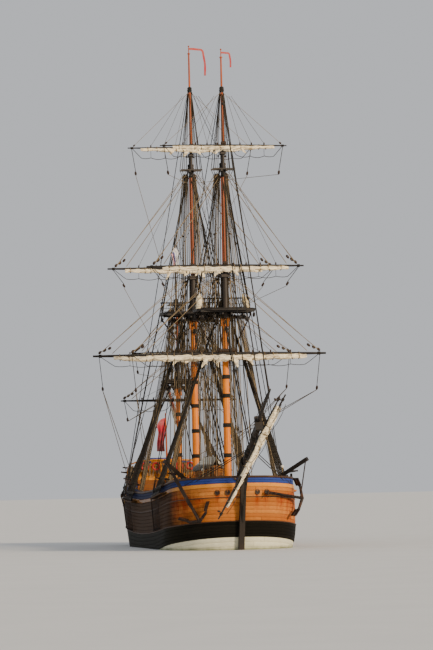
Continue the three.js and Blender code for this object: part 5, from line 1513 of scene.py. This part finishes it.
class Yard:
    """A square yard with its furled sail and the lines that hold it."""

    def __init__(self, name, mast, part, z, half, radius, roll):
        """part is the part of the mast it turns on. half is its half length, and roll its sail's radius."""
        self.name, self.mast, self.part, self.z = name, mast, part, z
        self.half, self.radius, self.roll = half, radius, roll
        self.body = name.replace("_yard", "_yard_and_sail") if roll else name + "_spar"
        self.place = mast_matrix(mast, AHEAD[part], z)
        self.offset = radius_at(mast, z - 0.08, part) + 0.0015 + radius + 0.04
        self.ahead, self.beside, self.height = masthead(mast, part)

    def at(self, x, y, z):
        """A point by its place before the yard's middle, along the yard and above it."""
        return self.place @ Vector((self.offset + x, y, z))

    def pendant(self, side):
        """Both ends of a brace pendant."""
        inward, down = MIZZEN_PENDANT if self.mast == "mizzen" else PENDANTS[self.part]
        top = self.at(-0.02, side * self.half * 0.94, -0.05)
        return top, top + Vector((-0.12, -side * inward, -down))

    def furl(self, seed):
        below = self.radius * 0.75 + self.roll * 0.62
        forward = math.sqrt(((self.radius + self.roll) * 0.9) ** 2 - below**2)
        centre = (self.offset + forward, -below)
        roll = Roll(self.place, self.half, self.roll, centre, (self.offset, 0), self.radius, seed * 3.1)
        roll.make(self.name, self.body, [(side, seed, k) for side in SIDES for k in range(2)])

    def footropes(self, maker):
        """Footropes on both arms with their stirrups, below and behind the yard."""
        drop = 0.32 if self.name == "mizzen_topsail_yard" else 0.78
        for side in SIDES:
            arm = side * self.half
            points = [self.at(0.04, arm * 0.1, -0.05)]
            for first, second in zip(STIRRUPS, STIRRUPS[1:]):
                for i in range(6):
                    share = first + (second - first) * i / 6
                    fall = drop * (0.72 + 0.28 * math.sin(math.pi * share)) + 0.1 * math.sin(math.pi * i / 6)
                    fall *= 1 if share < 0.8 else (0.95 - share) / 0.15
                    points.append(self.at(0.04, arm * share, -fall))
            points.append(self.at(0, arm * 0.93, -0.04))
            maker.tube(points, 0.024, 5)
            for share in STIRRUPS[1:-1]:
                low = self.at(0.04, arm * share, -drop * (0.72 + 0.28 * math.sin(math.pi * share)))
                maker.tube([self.at(-0.02, arm * share, 0.0), low], 0.018, 4)

    def arm(self, side, rigging, wood):
        """The hoop, rope turns and brace pendant at a yardarm."""
        radius = self.radius
        hoop = [(radius * 0.5, -0.3), (radius * 0.62, -0.27), (radius * 0.62, -0.22), (radius * 0.5, -0.19)]
        out = self.place.to_3x3() @ Vector((0, side, 0))
        wood.turn(hoop, self.at(0, side * self.half * 0.965, 0), out, 10)
        rope_turns(rigging, self.place, self.offset, self.half * 0.92, side, radius * 0.52 + 0.02)
        top, low = self.pendant(side)
        rigging.tube([top, top.lerp(low, 0.5) + Vector((0.02, 0, 0)), low], 0.026, 5)
        wood.pulley(low - Vector((0, 0, 0.12)), low - top, 0.14, 0.6)

    def lead_lifts(self, side, wood, lifts):
        """Lifts, doubled through a block at the arm where the yard is a large one."""
        share, rise = LIFTS[self.part], self.radius * 0.5
        head = on_mast(self.mast, self.height, self.ahead, side * self.beside)
        block = self.at(0, side * self.half * share, rise + 0.14)
        wood.pulley(block, head - block, 0.1)
        if self.part == "gr":
            lifts.line(block, head, 16, 0.014)
            return
        for k in range(3):
            arm = self.at(-0.1, side * self.half * (share - 0.025 * k), rise + 0.2)
            wood.pulley(arm + (head - block).normalized() * 0.24 * k, head - block, 0.14, k)
        lifts.line(block, head, 16, 0.024)
        lifts.line(block + Vector((0, -side * 0.1, 0.06)), head + Vector((0, side * 0.06, 0.14)), 16, 0.0192)
        inner = self.at(0, side * self.half * (share - 0.12), rise + 0.1)
        lower = on_mast(self.mast, self.height - 0.4, self.ahead + 0.1, side * (self.beside + 0.04))
        lifts.line(inner, lower, 16, 0.0264)

    def lead_buntlines(self, side, wood, lines):
        """Buntlines up the fore side with a block on the yard for each, then the jeers or the tye."""
        low = self.part == "r"
        top = MASTS[self.mast]["top"]
        for k, share in enumerate((0.1, 0.26, 0.44, 0.64)):
            foot = self.at(self.radius * 0.7, side * self.half * share, self.radius * 0.8 + 0.06)
            wood.pulley(foot, UP, 0.085, share * 5)
            z = top - 0.05 if low else self.height - 0.25
            upper = on_mast(self.mast, z, self.ahead + 0.3, side * (self.beside + 0.16 * k))
            lines.line(foot, upper, 10, 0.015, 4)
        for k in range((4 if low else 1) if self.roll else 0):
            z = (top if low else self.height) - 0.1
            upper = on_mast(self.mast, z, self.ahead + 0.28 + 0.04 * k, side * (0.06 + 0.15 * k))
            foot = self.at(0, side * (0.08 + 0.17 * k), self.radius + 0.1)
            lines.line(foot, upper, 10, 0.036)
            wood.pulley(foot, UP, 0.15, 0.3)

    def bend(self, maker, name, material, high):
        """Builds lines that run between the ship, at height high on the mast, and the yard, and bakes their
        transform into the mesh.
        """
        made = maker.build(self.name + name, material, None)
        on_mast(self.mast, high) * K
        on_mast(self.mast, self.z) * K
        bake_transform(made)

    def make(self, seed):
        rigging, wood, lifts, buntlines = Maker(), Maker(), Maker(), Maker()
        if self.roll:
            self.furl(seed)
        self.footropes(rigging)
        for side in SIDES:
            self.arm(side, rigging, wood)
            self.lead_lifts(side, wood, lifts)
            self.lead_buntlines(side, wood, buntlines)
        wood.build(self.name + "_blocks", "wood", self.body)
        rigging.build(self.name + "_footropes", "tar", self.body)
        self.bend(lifts, "_lifts", "hemp", self.height)
        high = MASTS[self.mast]["top"] if self.part == "r" else self.height - 0.25
        self.bend(buntlines, "_buntlines", "brown", high)


YARDS = [
    Yard("fore_yard", "fore", "r", 13.85, 7.25, 0.17, 0.27),
    Yard("fore_topsail_yard", "fore", "tr", 20.13, 5.7, 0.13, 0.23),
    Yard("fore_topgallant_yard", "fore", "gr", 28.75, 4.6, 0.09, 0.2),
    Yard("main_yard", "main", "r", 14.45, 7.8, 0.18, 0.28),
    Yard("main_topsail_yard", "main", "tr", 21.03, 6.6, 0.14, 0.24),
    Yard("main_topgallant_yard", "main", "gr", 30.2, 4.9, 0.1, 0.2),
    Yard("crossjack_yard", "mizzen", "r", 11.3, 4.6, 0.12, 0),
    Yard("mizzen_topsail_yard", "mizzen", "tr", 15.0, 3.7, 0.1, 0.16),
]
for number, square_yard in enumerate(YARDS):
    square_yard.make(number)


# the sprit yards, the gaff and the boat's cover

SPRIT_YARDS = [  # name, x, z, half length, radius, degrees topped up, radius of the roll and its fullness
    ("spritsail_yard", 20.25, 6.42, 4.85, 0.12, 60.0, 0.17, lambda t: 0.6 - 0.1 * t),
    (
        "sprit_topsail_yard", 22.35, 7.48, 3.35, 0.09, 61.5, 0.22,
        lambda t: 0.34 + 0.56 / (1 + math.exp(-9 * (t + 0.1)))),
]


def make_sprit_yards():
    for index, (name, x, z, half, radius, topped, roll, slim) in enumerate(SPRIT_YARDS):
        body = name.replace("_yard", "_yard_and_sail")
        place = Matrix.Translation((x, 0, z)) @ Matrix.Rotation(math.radians(topped), 4, "X")
        out = (radius + roll) * 0.9
        centre = (math.cos(0.6) * out, -math.sin(0.6) * out)
        Roll(place, half, roll, centre, (0, 0), radius, index * 4.7 + 60, slim, 0.05).make(name, body)
        rigging, wood = Maker(), Maker()
        for side in SIDES:
            rope_turns(rigging, place, 0, half * 0.9, side, radius * 0.75)
            block = place @ Vector((0, side * half * 0.9, radius + 0.1))
            wood.pulley(block, place.to_3x3() @ Vector((0, side * 0.4, 1)), 0.11)
        footrope = []
        for i in range(13):
            y = half * 0.88 - 2 * half * 0.88 * i / 12
            footrope.append(place @ Vector((-0.1, y, -0.35 - 0.12 * math.sin(i * math.pi / 3) ** 2)))
        rigging.tube(footrope, 0.02, 5)
        rigging.build(name + "_footropes", "tar", body)
        wood.build(name + "_blocks", "wood", body)


make_sprit_yards()

GAFF_Z, GAFF_LIFT, GAFF_LENGTH = 9.6, math.radians(33), 6.4
BRAILS = 8


def make_gaff():
    """The sail brailed up along the gaff, its lashings and the vangs."""
    place = mast_matrix("mizzen", 0, GAFF_Z)
    start = radius_at("mizzen", GAFF_Z - 0.12) + 0.0415
    tip = Vector((-math.cos(GAFF_LIFT) * GAFF_LENGTH, 0, math.sin(GAFF_LIFT) * GAFF_LENGTH))
    low, high = Vector((-start - 0.3, 0, -0.15)), Vector((tip.x * 0.93, 0, tip.z * 0.93 - 0.27))
    along = (high - low).normalized()
    up, across = Vector((along.z, 0, -along.x)), Vector((0, 1, 0))
    sail, ties = Maker(), Maker()
    rings = []
    for t in (i / 70 for i in range(71)):
        radius = 0.12 + 0.08 * (t / 0.25) if t < 0.25 else 0.2 - 0.12 * ((t - 0.25) / 0.75) ** 1.3
        pinch = math.exp(-((((t * BRAILS) % 1 - 0.5) / 0.09) ** 2))
        ring = []
        for a in (math.tau * k / 20 for k in range(20)):
            c, s = math.cos(a), math.sin(a)
            lump = noise.noise(Vector((c * 1.5, t * 14, s * 1.5 + 9))) * 0.24 + 0.05 * math.sin(a * 6 + t * 9)
            grow = 1 + lump * (1 - pinch) - 0.15 * pinch
            ring.append(place @ (low.lerp(high, t) + (across * c + up * s) * radius * grow))
        rings.append(ring)
    sail.rings(rings)
    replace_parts(sail.build("gaff_sail_brailed", "sail", "gaff_and_sail", sharp=70), "gaff_sail")
    for k in range(BRAILS):
        middle = low.lerp(high, (k + 0.5) / BRAILS) + up * 0.12
        ties.loop([place @ (middle + across * c * 0.2 + up * s * 0.32) for c, s in circle(16)], 0.018, 5)
    ties.tube([place @ (tip * 0.97), place @ Vector((-0.25, 0.05, 4.6))], 0.02, 5)
    ties.tube([place @ (tip * 0.6), place @ Vector((-0.25, 0.05, 4.55))], 0.02, 5)
    ties.build("gaff_gear", "hemp", "gaff_and_sail")


make_gaff()

BOAT_X, BOAT_Z, BOAT_HALF = 3.2, 4.75, 3.1


def boat_at(along, height):
    """x, half breadth and height of the boat's side, at a share of its half length before its middle."""
    fullness = max(1 - abs(along) ** 2.6, 0.06)
    return BOAT_X + along * BOAT_HALF, fullness**0.6, BOAT_Z + height + 0.2 * along * along


def make_boat_cover():
    """A canvas cover pulled over a ridge spar, and scalloped where it is lashed."""
    cover = Maker()
    rings = []
    for i in range(57):
        along = 1 - 2 * i / 56
        _, wide, sheer = boat_at(along, 1.05)
        x = BOAT_X + along * BOAT_HALF * 1.005
        ridge = 0.85 * (1 - 0.35 * along * along)
        tent = 0.5 + 0.5 * math.cos(i * math.tau / 7)
        ring = []
        for s in (-1 + k / 9 for k in range(19)):
            share = 1 - abs(s)
            sag = 0.09 * math.sin(math.pi * share) * (1 - 0.6 * tent)
            fold = 0.022 * noise.noise(Vector((x * 2.4, s * 5, 3))) + 0.012 * math.sin(x * 9 + s * 4)
            ring.append(Vector((x, (wide + 0.06) * s, sheer + 0.02 + ridge * (share**0.85) - sag + fold)))
        edge = sheer - 0.16 - 0.05 * math.cos(i * math.tau / 3.5)
        port, starboard = (Vector((x, (wide + 0.09) * side, edge)) for side in SIDES)
        inner = [Vector((x, (wide + 0.05) * side, edge + 0.01)) for side in SIDES]
        below = [Vector((p.x, p.y * 0.96, p.z - 0.03)) for p in reversed(ring)]
        rings.append([starboard] + ring + [port, inner[0]] + below + [inner[1]])
    cover.rings(rings)
    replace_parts(cover.build("boat_cover_canvas", "cover", sharp=60), "boat_cover")


def make_boat_gear():
    """The cover's lashings, the boat's rubbing strakes, and the spare spars on their trestles beside it."""
    ropes, wood, trim = Maker(), Maker(), Maker()
    for i in range(9):
        x, wide, sheer = boat_at(-0.86 + i * 0.215, 1.05)
        for side in SIDES:
            bend, foot = (x, side * (wide * 0.86 + 0.04), sheer - 0.75), (x, side * wide * 0.4, BOAT_Z + 0.02)
            ropes.tube([(x, side * (wide + 0.1), sheer - 0.1), bend, foot], 0.014, 4)
    for side in SIDES:
        gunwale = []
        for i in range(25):
            x, wide, z = boat_at(1 - i / 12, 0.98)
            gunwale.append(Vector((x, side * (wide + 0.02), z)))
        trim.tube(gunwale, 0.045, 6)
        for narrow, share in ((0.95, 0.86), (0.89, 0.72)):
            strake = [Vector((p.x, p.y * narrow, BOAT_Z + (p.z - BOAT_Z) * share - 0.05)) for p in gunwale]
            trim.tube(strake, 0.02, 5)
        for y, z, r in ((1.55, 4.15, 0.14), (1.85, 4.1, 0.12), (1.68, 4.4, 0.11)):
            wood.turn([(r * 0.6, 0), (r, 1.5), (r, 8.5), (r * 0.6, 10.6)], (-2.0, side * y, z), (1, 0, 0), 10)
        for x in (0.2, 6.4):
            wood.block((x, side * 1.7, 3.4), (0.2, 0.8, 1.3))
            ring = [Vector((x + 0.25, side * 1.7 + c * 0.34, 4.25 + s * 0.3)) for c, s in circle(14)]
            ropes.loop(ring, 0.02, 5)
    ropes.build("boat_lashings", "hemp")
    wood.build("spare_spars", "top_red")
    trim.build("boat_trim", "rail")


make_boat_cover()
make_boat_gear()


def running_leads(name):
    """Upper and lower ends of the halyards, clewlines, buntlines and sheets of one mast."""
    spec = MASTS[name]
    base, top, trees, reach = spec["x"], spec["top"], spec["trees"], spec["wide"] * 0.42
    deck = deck_at(base)
    rail = lambda x, side: (x, side * (inner_y(x, deck + 1) - 0.2), deck + 0.9)
    leads = []
    for side in SIDES:
        for k in range(9):
            high = on_mast(name, top - 0.08, -0.6 - 0.05 * k, side * (reach + 0.08 * k))
            leads.append((high, rail(base - 1.2 - 0.22 * k, side)))
        for k in range(8):
            high = on_mast(name, trees - 0.1 - 0.1 * (k % 2), 0.1 - 0.05 * k, side * (0.24 + 0.035 * k))
            aside = side * (0.34 + spec["wide"] * 0.08 * k)
            leads.append((high, on_mast(name, top + 0.3, -0.3 - 0.04 * k, aside)))
        for k in range(4):
            high = on_mast(name, trees - 0.3, 0.42 - 0.03 * k, side * (0.2 + 0.05 * k))
            leads.append((high, on_mast(name, top + 0.32, 0.3 - 0.1 * k, side * (0.28 + 0.2 * k))))
        if name == "mizzen":
            continue
        for k in range(9):
            high = on_mast(name, top - 0.05, -0.45 - 0.12 * (k % 3), side * (0.35 + (reach - 0.35) * k / 8))
            leads.append((high, (base - 0.8 - 0.12 * k, side * (0.45 + 0.14 * k), deck + 0.85)))
        for k in range(6):
            high = on_mast(name, top - 0.08, -0.15 - 0.1 * k, side * (0.32 + 0.24 * k))
            leads.append((high, (base - 0.3 - 0.15 * k, side * (0.45 + 0.3 * k), deck + 0.9)))
        for k in range(4):
            high = on_mast(name, spec["cap"] - 0.1, -0.2 - 0.1 * k, side * (0.3 + 0.06 * k))
            leads.append((high, on_mast(name, top + 0.3, -0.5 - 0.12 * k, side * (0.5 + 0.3 * k))))
        for k in range(3):
            high = on_mast(name, spec["hounds"] - 0.1, TOPGALLANT_AHEAD - 0.08, side * (0.1 + 0.02 * k))
            leads.append((high, on_mast(name, trees + 0.1, 0.2 - 0.1 * k, side * (0.3 + 0.14 * k))))
        leads.append((on_mast(name, spec["cap"] - 0.3, -0.3, side * 0.36), rail(base - 2.8, side)))
    return leads


def make_running_rigging():
    light, dark, wood = Maker(), Maker(), Maker()
    for name in MASTS:
        for i, (high, low) in enumerate(running_leads(name)):
            low = Vector(low)
            (light if i % 5 in (0, 3) else dark).tube([high, low], random.choice((0.02, 0.026, 0.032)), 5)
            wood.pulley(high - Vector((0, 0, 0.16)), high - low, 0.1, random.uniform(0, 3))
            if i % 4 == 0:
                wood.pulley(high.lerp(low, 0.6 + 0.3 * math.sin(i)), high - low, 0.09, 1.0)
    light.build("running_rigging", "hemp")
    dark.build("old_running_rigging", "brown")
    wood.build("running_blocks", "wood")


make_running_rigging()


# braces, which run between the ship and the yards

STERN_FEET = {"main_yard": (-15.4, 3.05, 5.75), "fore_yard": (-15.35, 1.6, 6.6)}
MAST_FEET = {  # where the other braces lead to: mast, height, ahead and beside
    "fore_topsail_yard": ("main", 16.6, 0.3, 0.3),
    "fore_topgallant_yard": ("main", 27.6, 0.3, 0.3),
    "main_topsail_yard": ("mizzen", 12.8, 0.1, 0.25),
    "main_topgallant_yard": ("mizzen", 18.9, 0.1, 0.25),
    "crossjack_yard": ("main", 12.4, -0.3, 0.25),
    "mizzen_topsail_yard": ("main", 12.4, -0.3, 0.25),
}


def brace_foot(name, side):
    if name in STERN_FEET:
        x, y, z = STERN_FEET[name]
        return Vector((x, side * y, z))
    mast, z, ahead, beside = MAST_FEET[name]
    return on_mast(mast, z, ahead, side * beside)


def make_braces():
    for yard in YARDS:
        for side, word in zip(SIDES, ("port", "starboard")):
            block = yard.pendant(side)[1] - Vector((0, 0, 0.26))
            foot = brace_foot(yard.name, side)
            brace = Maker()
            brace.line(block, foot, 24, 0.026 if yard.part == "r" else 0.018)
            if yard.part == "r":
                brace.line(block, foot + Vector((0, side * 0.1, -0.12)) * 3, 24, 0.024)
            made = brace.build(f"{yard.name}_brace_{word}", "hemp", None)
            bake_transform(made)


make_braces()


# flags

ACROSS, DOWN = 24, 50  # steps over a flag's width and along its length


def flag(name, material, hoist, size, away, folds, level, fall_rate):
    """A flag hanging from its hoist: the cloth turns down from the pole and its width gathers in folds."""
    width, length = size
    away = Vector(away).normalized()
    side = away.cross(UP).normalized()
    middle = hoist - Vector((0, 0, width / 2))
    rows = [[] for _ in range(ACROSS + 1)]
    for t in (i / DOWN for i in range(DOWN + 1)):
        fall = 1.5 * min(max(t - level, 0) * fall_rate, 1) + 0.12 * math.sin(t * 9)
        sway = 0.16 * math.sin(t * 7 + 1)
        direction = away * math.cos(fall) * math.cos(sway) - UP * math.sin(fall) + side * math.sin(sway) * 0.5
        outer = (away * math.sin(fall) + UP * math.cos(fall)).normalized()
        deep = folds * min(t * 2.5, 1)
        for j, row in enumerate(rows):
            s = j / ACROSS - 0.5
            wave = math.sin(s * math.tau * 2.5 + t * 2.2) * deep * width * 0.13
            row.append(middle + outer * -s * width * (1 - 0.38 * deep) + side * wave)
        middle = middle + direction.normalized() * (length / DOWN)
    maker = Maker()
    maker.points = [point for row in rows for point in row]
    maker.stain = [0.0] * len(maker.points)
    for j in range(ACROSS):
        v0, v1 = j / ACROSS * 0.999, (j + 1) / ACROSS * 0.999
        for i in range(DOWN):
            a = j * (DOWN + 1) + i
            b = a + DOWN + 1
            u0, u1 = i / DOWN * 0.999, (i + 1) / DOWN * 0.999
            maker.faces.append((a, a + 1, b + 1, b))
            maker.uvs.append(((u0, v0), (u1, v0), (u1, v1), (u0, v1)))
    made = maker.build(name, material)
    made.modifiers.new("thickness", "SOLIDIFY").thickness = 0.003


STAFF_FOOT, STAFF_LEAN = Vector((-16.2, 0, 6.2)), -0.08


def make_flags():
    poles, trucks = Maker(), Maker()
    for name in ("main", "fore"):
        top = on_mast(name, MASTS[name]["tg"] + 0.05, TOPGALLANT_AHEAD)
        poles.turn([(0.035, 0), (0.03, 0.55)], top, mast_axis(name), 8)
        trucks.turn([(0.03, 0.52), (0.06, 0.54), (0.065, 0.58), (0.03, 0.62)], top, mast_axis(name), 12)
    poles.turn([(0.08, 0), (0.07, 2.0), (0.045, 4.3)], STAFF_FOOT, (STAFF_LEAN, 0, 1), 10)
    poles.build("flag_poles", "top_red")
    trucks.build("mast_trucks", "top_red")
    main = on_mast("main", 37.95, TOPGALLANT_AHEAD)
    fore = on_mast("fore", 35.55, TOPGALLANT_AHEAD)
    staff = STAFF_FOOT + Vector((STAFF_LEAN * 3.9, -0.04, 3.9))
    halyard = on_mast("main", 22.7, 0.1, -1.45)
    flag("main_pennant", "pennant", main, (0.17, 3.0), (0.1, 1, 0), 0.3, 0.28, 9.0)
    flag("fore_pennant", "pennant", fore, (0.14, 1.6), (0.1, 1, 0), 0.3, 0.3, 9.0)
    flag("stern_ensign", "ensign", staff, (1.0, 2.4), (0.25, -1, 0), 1.0, 0.0, 5.0)
    flag("signal_flag", "signal", halyard, (0.7, 1.1), (0.0, 1, 0), 1.0, 0.0, 5.0)


make_flags()


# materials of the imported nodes

NODE_FINISH = {
    "hull_bottom": "bottom", "hull_wale": "wale", "hull_side": "topside", "bulwark_port": "topside",
    "bulwark_starboard": "topside", "upper_bulwark_port": "blue", "upper_bulwark_starboard": "blue",
    "transom": "blue", "keel_and_stem": "stem", "rudder": "stem", "windlass_barrel": "old",
    "ship_boat": "inside", "main_deck": "deck", "forecastle_deck": "deck", "quarter_deck": "deck",
    "anchor_port": "iron",
    "anchor_starboard": "iron", "steering_wheel": "top_red", "capstan": "top_red", "boat_cover": "cover",
    "gaff": "top_red",
}


def make_mast_finishes():
    """Varnish for each part of each mast, painted black where it is doubled or capped."""
    light, dark = (0.78, 0.23, 0.006), (0.52, 0.11, 0.003)
    for name, spec in MASTS.items():
        MAT[name + "_lower"] = spar(name + "_lower_varnish", light, dark, [(spec["top"] - 0.35, 99)])
        doubling = [(0, spec["cap"] + 0.25), (spec["trees"] - 0.45, 99)]
        MAT[name + "_upper"] = spar(name + "_topmast_varnish", *RED_SPAR, doubling)
        bands = [(0, spec["head"] + 0.3), (spec["hounds"] - 0.1, spec["hounds"] + 0.35)]
        MAT[name + "_topgallant"] = spar(name + "_topgallant_varnish", *RED_SPAR, bands)


def finish_of(node):
    mast = node.split("_")[0]
    endings = {
        "_lower_mast": mast + "_lower", "_topmast": mast + "_upper", "_topgallant_mast": mast + "_topgallant",
        "_sail": "sail", "stay": "tar",
    }
    for ending, key in endings.items():
        if node.endswith(ending):
            return key
    return NODE_FINISH.get(node, "black")


def dress_nodes():
    for node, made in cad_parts.items():
        for slot in made.material_slots:
            slot.material = MAT[finish_of(node)]


make_mast_finishes()
dress_nodes()


# stage

FLOOR_REACH = 900
SKY_COLOUR, SKY_STRENGTH = (0.78, 0.8, 0.84, 1), 0.74
SUNS = [  # name, direction towards it, energy, angle in degrees, colour
    ("key", (0.8, 0.5, 0.33), 5.0, 7, (1.0, 0.83, 0.6)),
    ("fill", (0.5, -0.8, 0.5), 0.25, 40, (0.85, 0.92, 1.0)),
]


def make_floor():
    mesh = bpy.data.meshes.new("floor")
    corners = [(-1, -1, 0), (1, -1, 0), (1, 1, 0), (-1, 1, 0)]
    mesh.from_pydata([Vector(corner) * FLOOR_REACH for corner in corners], [], [(0, 1, 2, 3)])
    f = Finish("floor_finish", 0.9)
    speck = f.noise(f.place(), 0.5, 3, 0.5)
    mesh.materials.append(f.finish(f.ramp(speck, (0.3, (0.6, 0.6, 0.59)), (0.7, (0.63, 0.63, 0.62)))))
    add_object("floor", mesh)


def make_light():
    world = bpy.data.worlds.new("studio")
    world.use_nodes = True
    sky = world.node_tree.nodes["Background"].inputs
    sky["Color"].default_value, sky["Strength"].default_value = SKY_COLOUR, SKY_STRENGTH
    bpy.context.scene.world = world
    for name, towards, energy, angle, colour in SUNS:
        lamp = bpy.data.lights.new(name, "SUN")
        lamp.energy, lamp.angle, lamp.color = energy, math.radians(angle), colour
        add_object(name, lamp).rotation_euler = Vector(towards).to_track_quat("Z", "Y").to_euler()


make_floor()
make_light()
